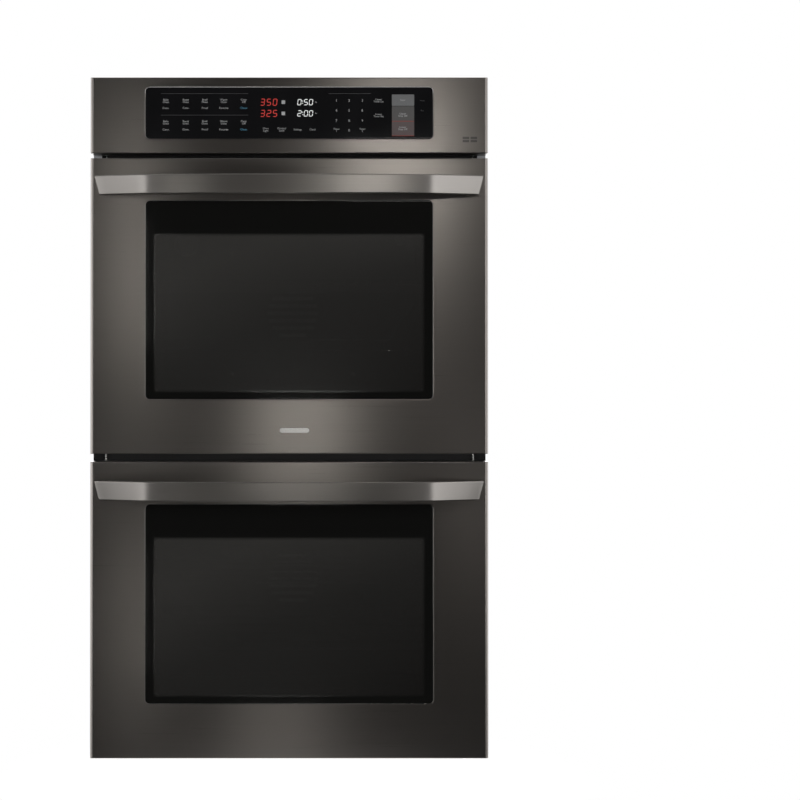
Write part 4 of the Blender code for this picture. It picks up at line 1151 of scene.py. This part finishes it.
LIGHTS = {
    # name: place, target, size, power, colour
    "left_softbox": ((-2.3, FRONT - 3.3, 1.0), (0, FRONT, 0.7), (1.3, 2.6), 23.5, (1, 1, 1)),
    "right_softbox": ((2.3, FRONT - 3.3, 1.0), (0, FRONT, 0.7), (1.5, 2.6), 30.0, (1, 1, 1)),
    "left_front_wall": ((-3.0, -1.7, 0.4), (0, FRONT, 0.4), (1.8, 2.8), 18.0, (1, 1, 1)),
    "right_front_wall": ((3.0, -1.7, 0.6), (0, FRONT, 0.6), (1.8, 2.8), 12.0, (1, 1, 1)),
    "left_side_wall": ((-3.2, 0.2, 0.6), (0, 0, 0.5), (2.2, 2.6), 60.0, (1, 1, 1)),
    "right_side_wall": ((3.2, 0.2, 0.7), (0, 0, 0.6), (2.2, 2.6), 50.0, (1, 1, 1)),
    "overhead": ((0.0, 0.3, 3.2), (0, 0.1, 0.6), (2.6, 2.6), 32.0, (1, 1, 1)),
    "rear_fill": ((0.0, 3.6, 1.6), (0, 0, 0.7), (2.6, 2.0), 76.0, (1, 1, 1)),
    "low_glow": (*facing(0.02, 0.652), (0.22, 0.03), 0.48, WARM),
    "top_glow": (*facing(0.205, 1.140), (0.26, 0.04), 0.92, WARM),
    "top_left_glow": (*facing(-0.30, 1.130), (0.06, 0.04), 0.10, WARM),
    "left_upper_glow": (*facing(-0.290, 0.90), (0.010, 0.32), 0.22, WARM),
    "left_lower_glow": (*facing(-0.290, 0.28), (0.012, 0.30), 0.13, WARM),
    "right_lower_glow": (*facing(0.345, 0.50), (0.06, 0.20), 0.05, WARM),
    "bottom_glow": (*facing(-0.02, 0.075), (0.22, 0.04), 0.14, WARM),
}


def studio():
    """Stage, lights, and a world that looks white to the camera and is nearly dark to everything else."""
    floor()
    world = bpy.data.worlds.new("studio")
    bpy.context.scene.world = world
    world.use_nodes = True
    tree = world.node_tree
    back = tree.nodes["Background"]
    path = tree.nodes.new("ShaderNodeLightPath")
    seen = tree.nodes.new("ShaderNodeBackground")
    seen.inputs["Color"].default_value = (1.0, 1.0, 1.0, 1.0)
    back.inputs["Color"].default_value = (1.0, 0.985, 0.96, 1.0)
    back.inputs["Strength"].default_value = AMBIENT
    mix = tree.nodes.new("ShaderNodeMixShader")
    tree.links.new(path.outputs["Is Camera Ray"], mix.inputs["Fac"])
    tree.links.new(back.outputs["Background"], mix.inputs[1])
    tree.links.new(seen.outputs["Background"], mix.inputs[2])
    tree.links.new(mix.outputs["Shader"], tree.nodes["World Output"].inputs["Surface"])
    for name, (place, target, size, power, colour) in LIGHTS.items():
        light(name, place, target, size, power, colour)


def camera():
    """Camera just right of the oven's middle, tipped up a little; the shift frames the oven on the left."""
    span, tilt = 1.5195, 0.0100
    data = bpy.data.cameras.new("front_camera")
    data.sensor_width = 36.0
    data.lens = data.sensor_width * REACH / span
    data.shift_x = 0.103
    data.shift_y = -0.0814
    data.dof.use_dof = False
    holder = bpy.data.objects.new("front_camera", data)
    holder.location = (ASIDE, FACE + DOOR_FRONT - REACH, EYE)
    holder.rotation_euler = (math.pi / 2 + tilt, 0.0, 0.0)
    bpy.context.scene.collection.objects.link(holder)
    bpy.context.scene.camera = holder


# -------------------------------------------------------------------- all pieces

carry_over()
control_panel()
badge()
for side, z0 in DOOR_BOTTOMS.items():
    door(side, z0)
    gasket(side, z0)
    broil(side, z0)
    ring_element(side, z0)
    lamp(side, z0)
    fan_cover_trim(side, z0)
    probe(side, z0)
    wheel(side + "_fan_wheel", side + "_fan", z0 + FAN_HEIGHT, (side + "_fan_blade",))
    for level in RACK_LEVELS:
        wire_rack(side, level, z0)
    finished_copy(side + "_cavity", "oven", ENAMEL, 0.0)
    finished_copy(side + "_fan_cover", "oven", ENAMEL, 0.0004)
    finished_copy(side + "_door_liner", side + "_door", ENAMEL_LINER, 0.0004)
    for label in ("left", "right"):
        finished_copy(side + "_hinge_arm_" + label, "oven", SPRING, 0.0006)
gap_trims()
louvre_hoods()
side_ribs()
chassis_screws()
rear_details()
studio()
camera()
bpy.context.scene.view_settings.view_transform = "Standard"
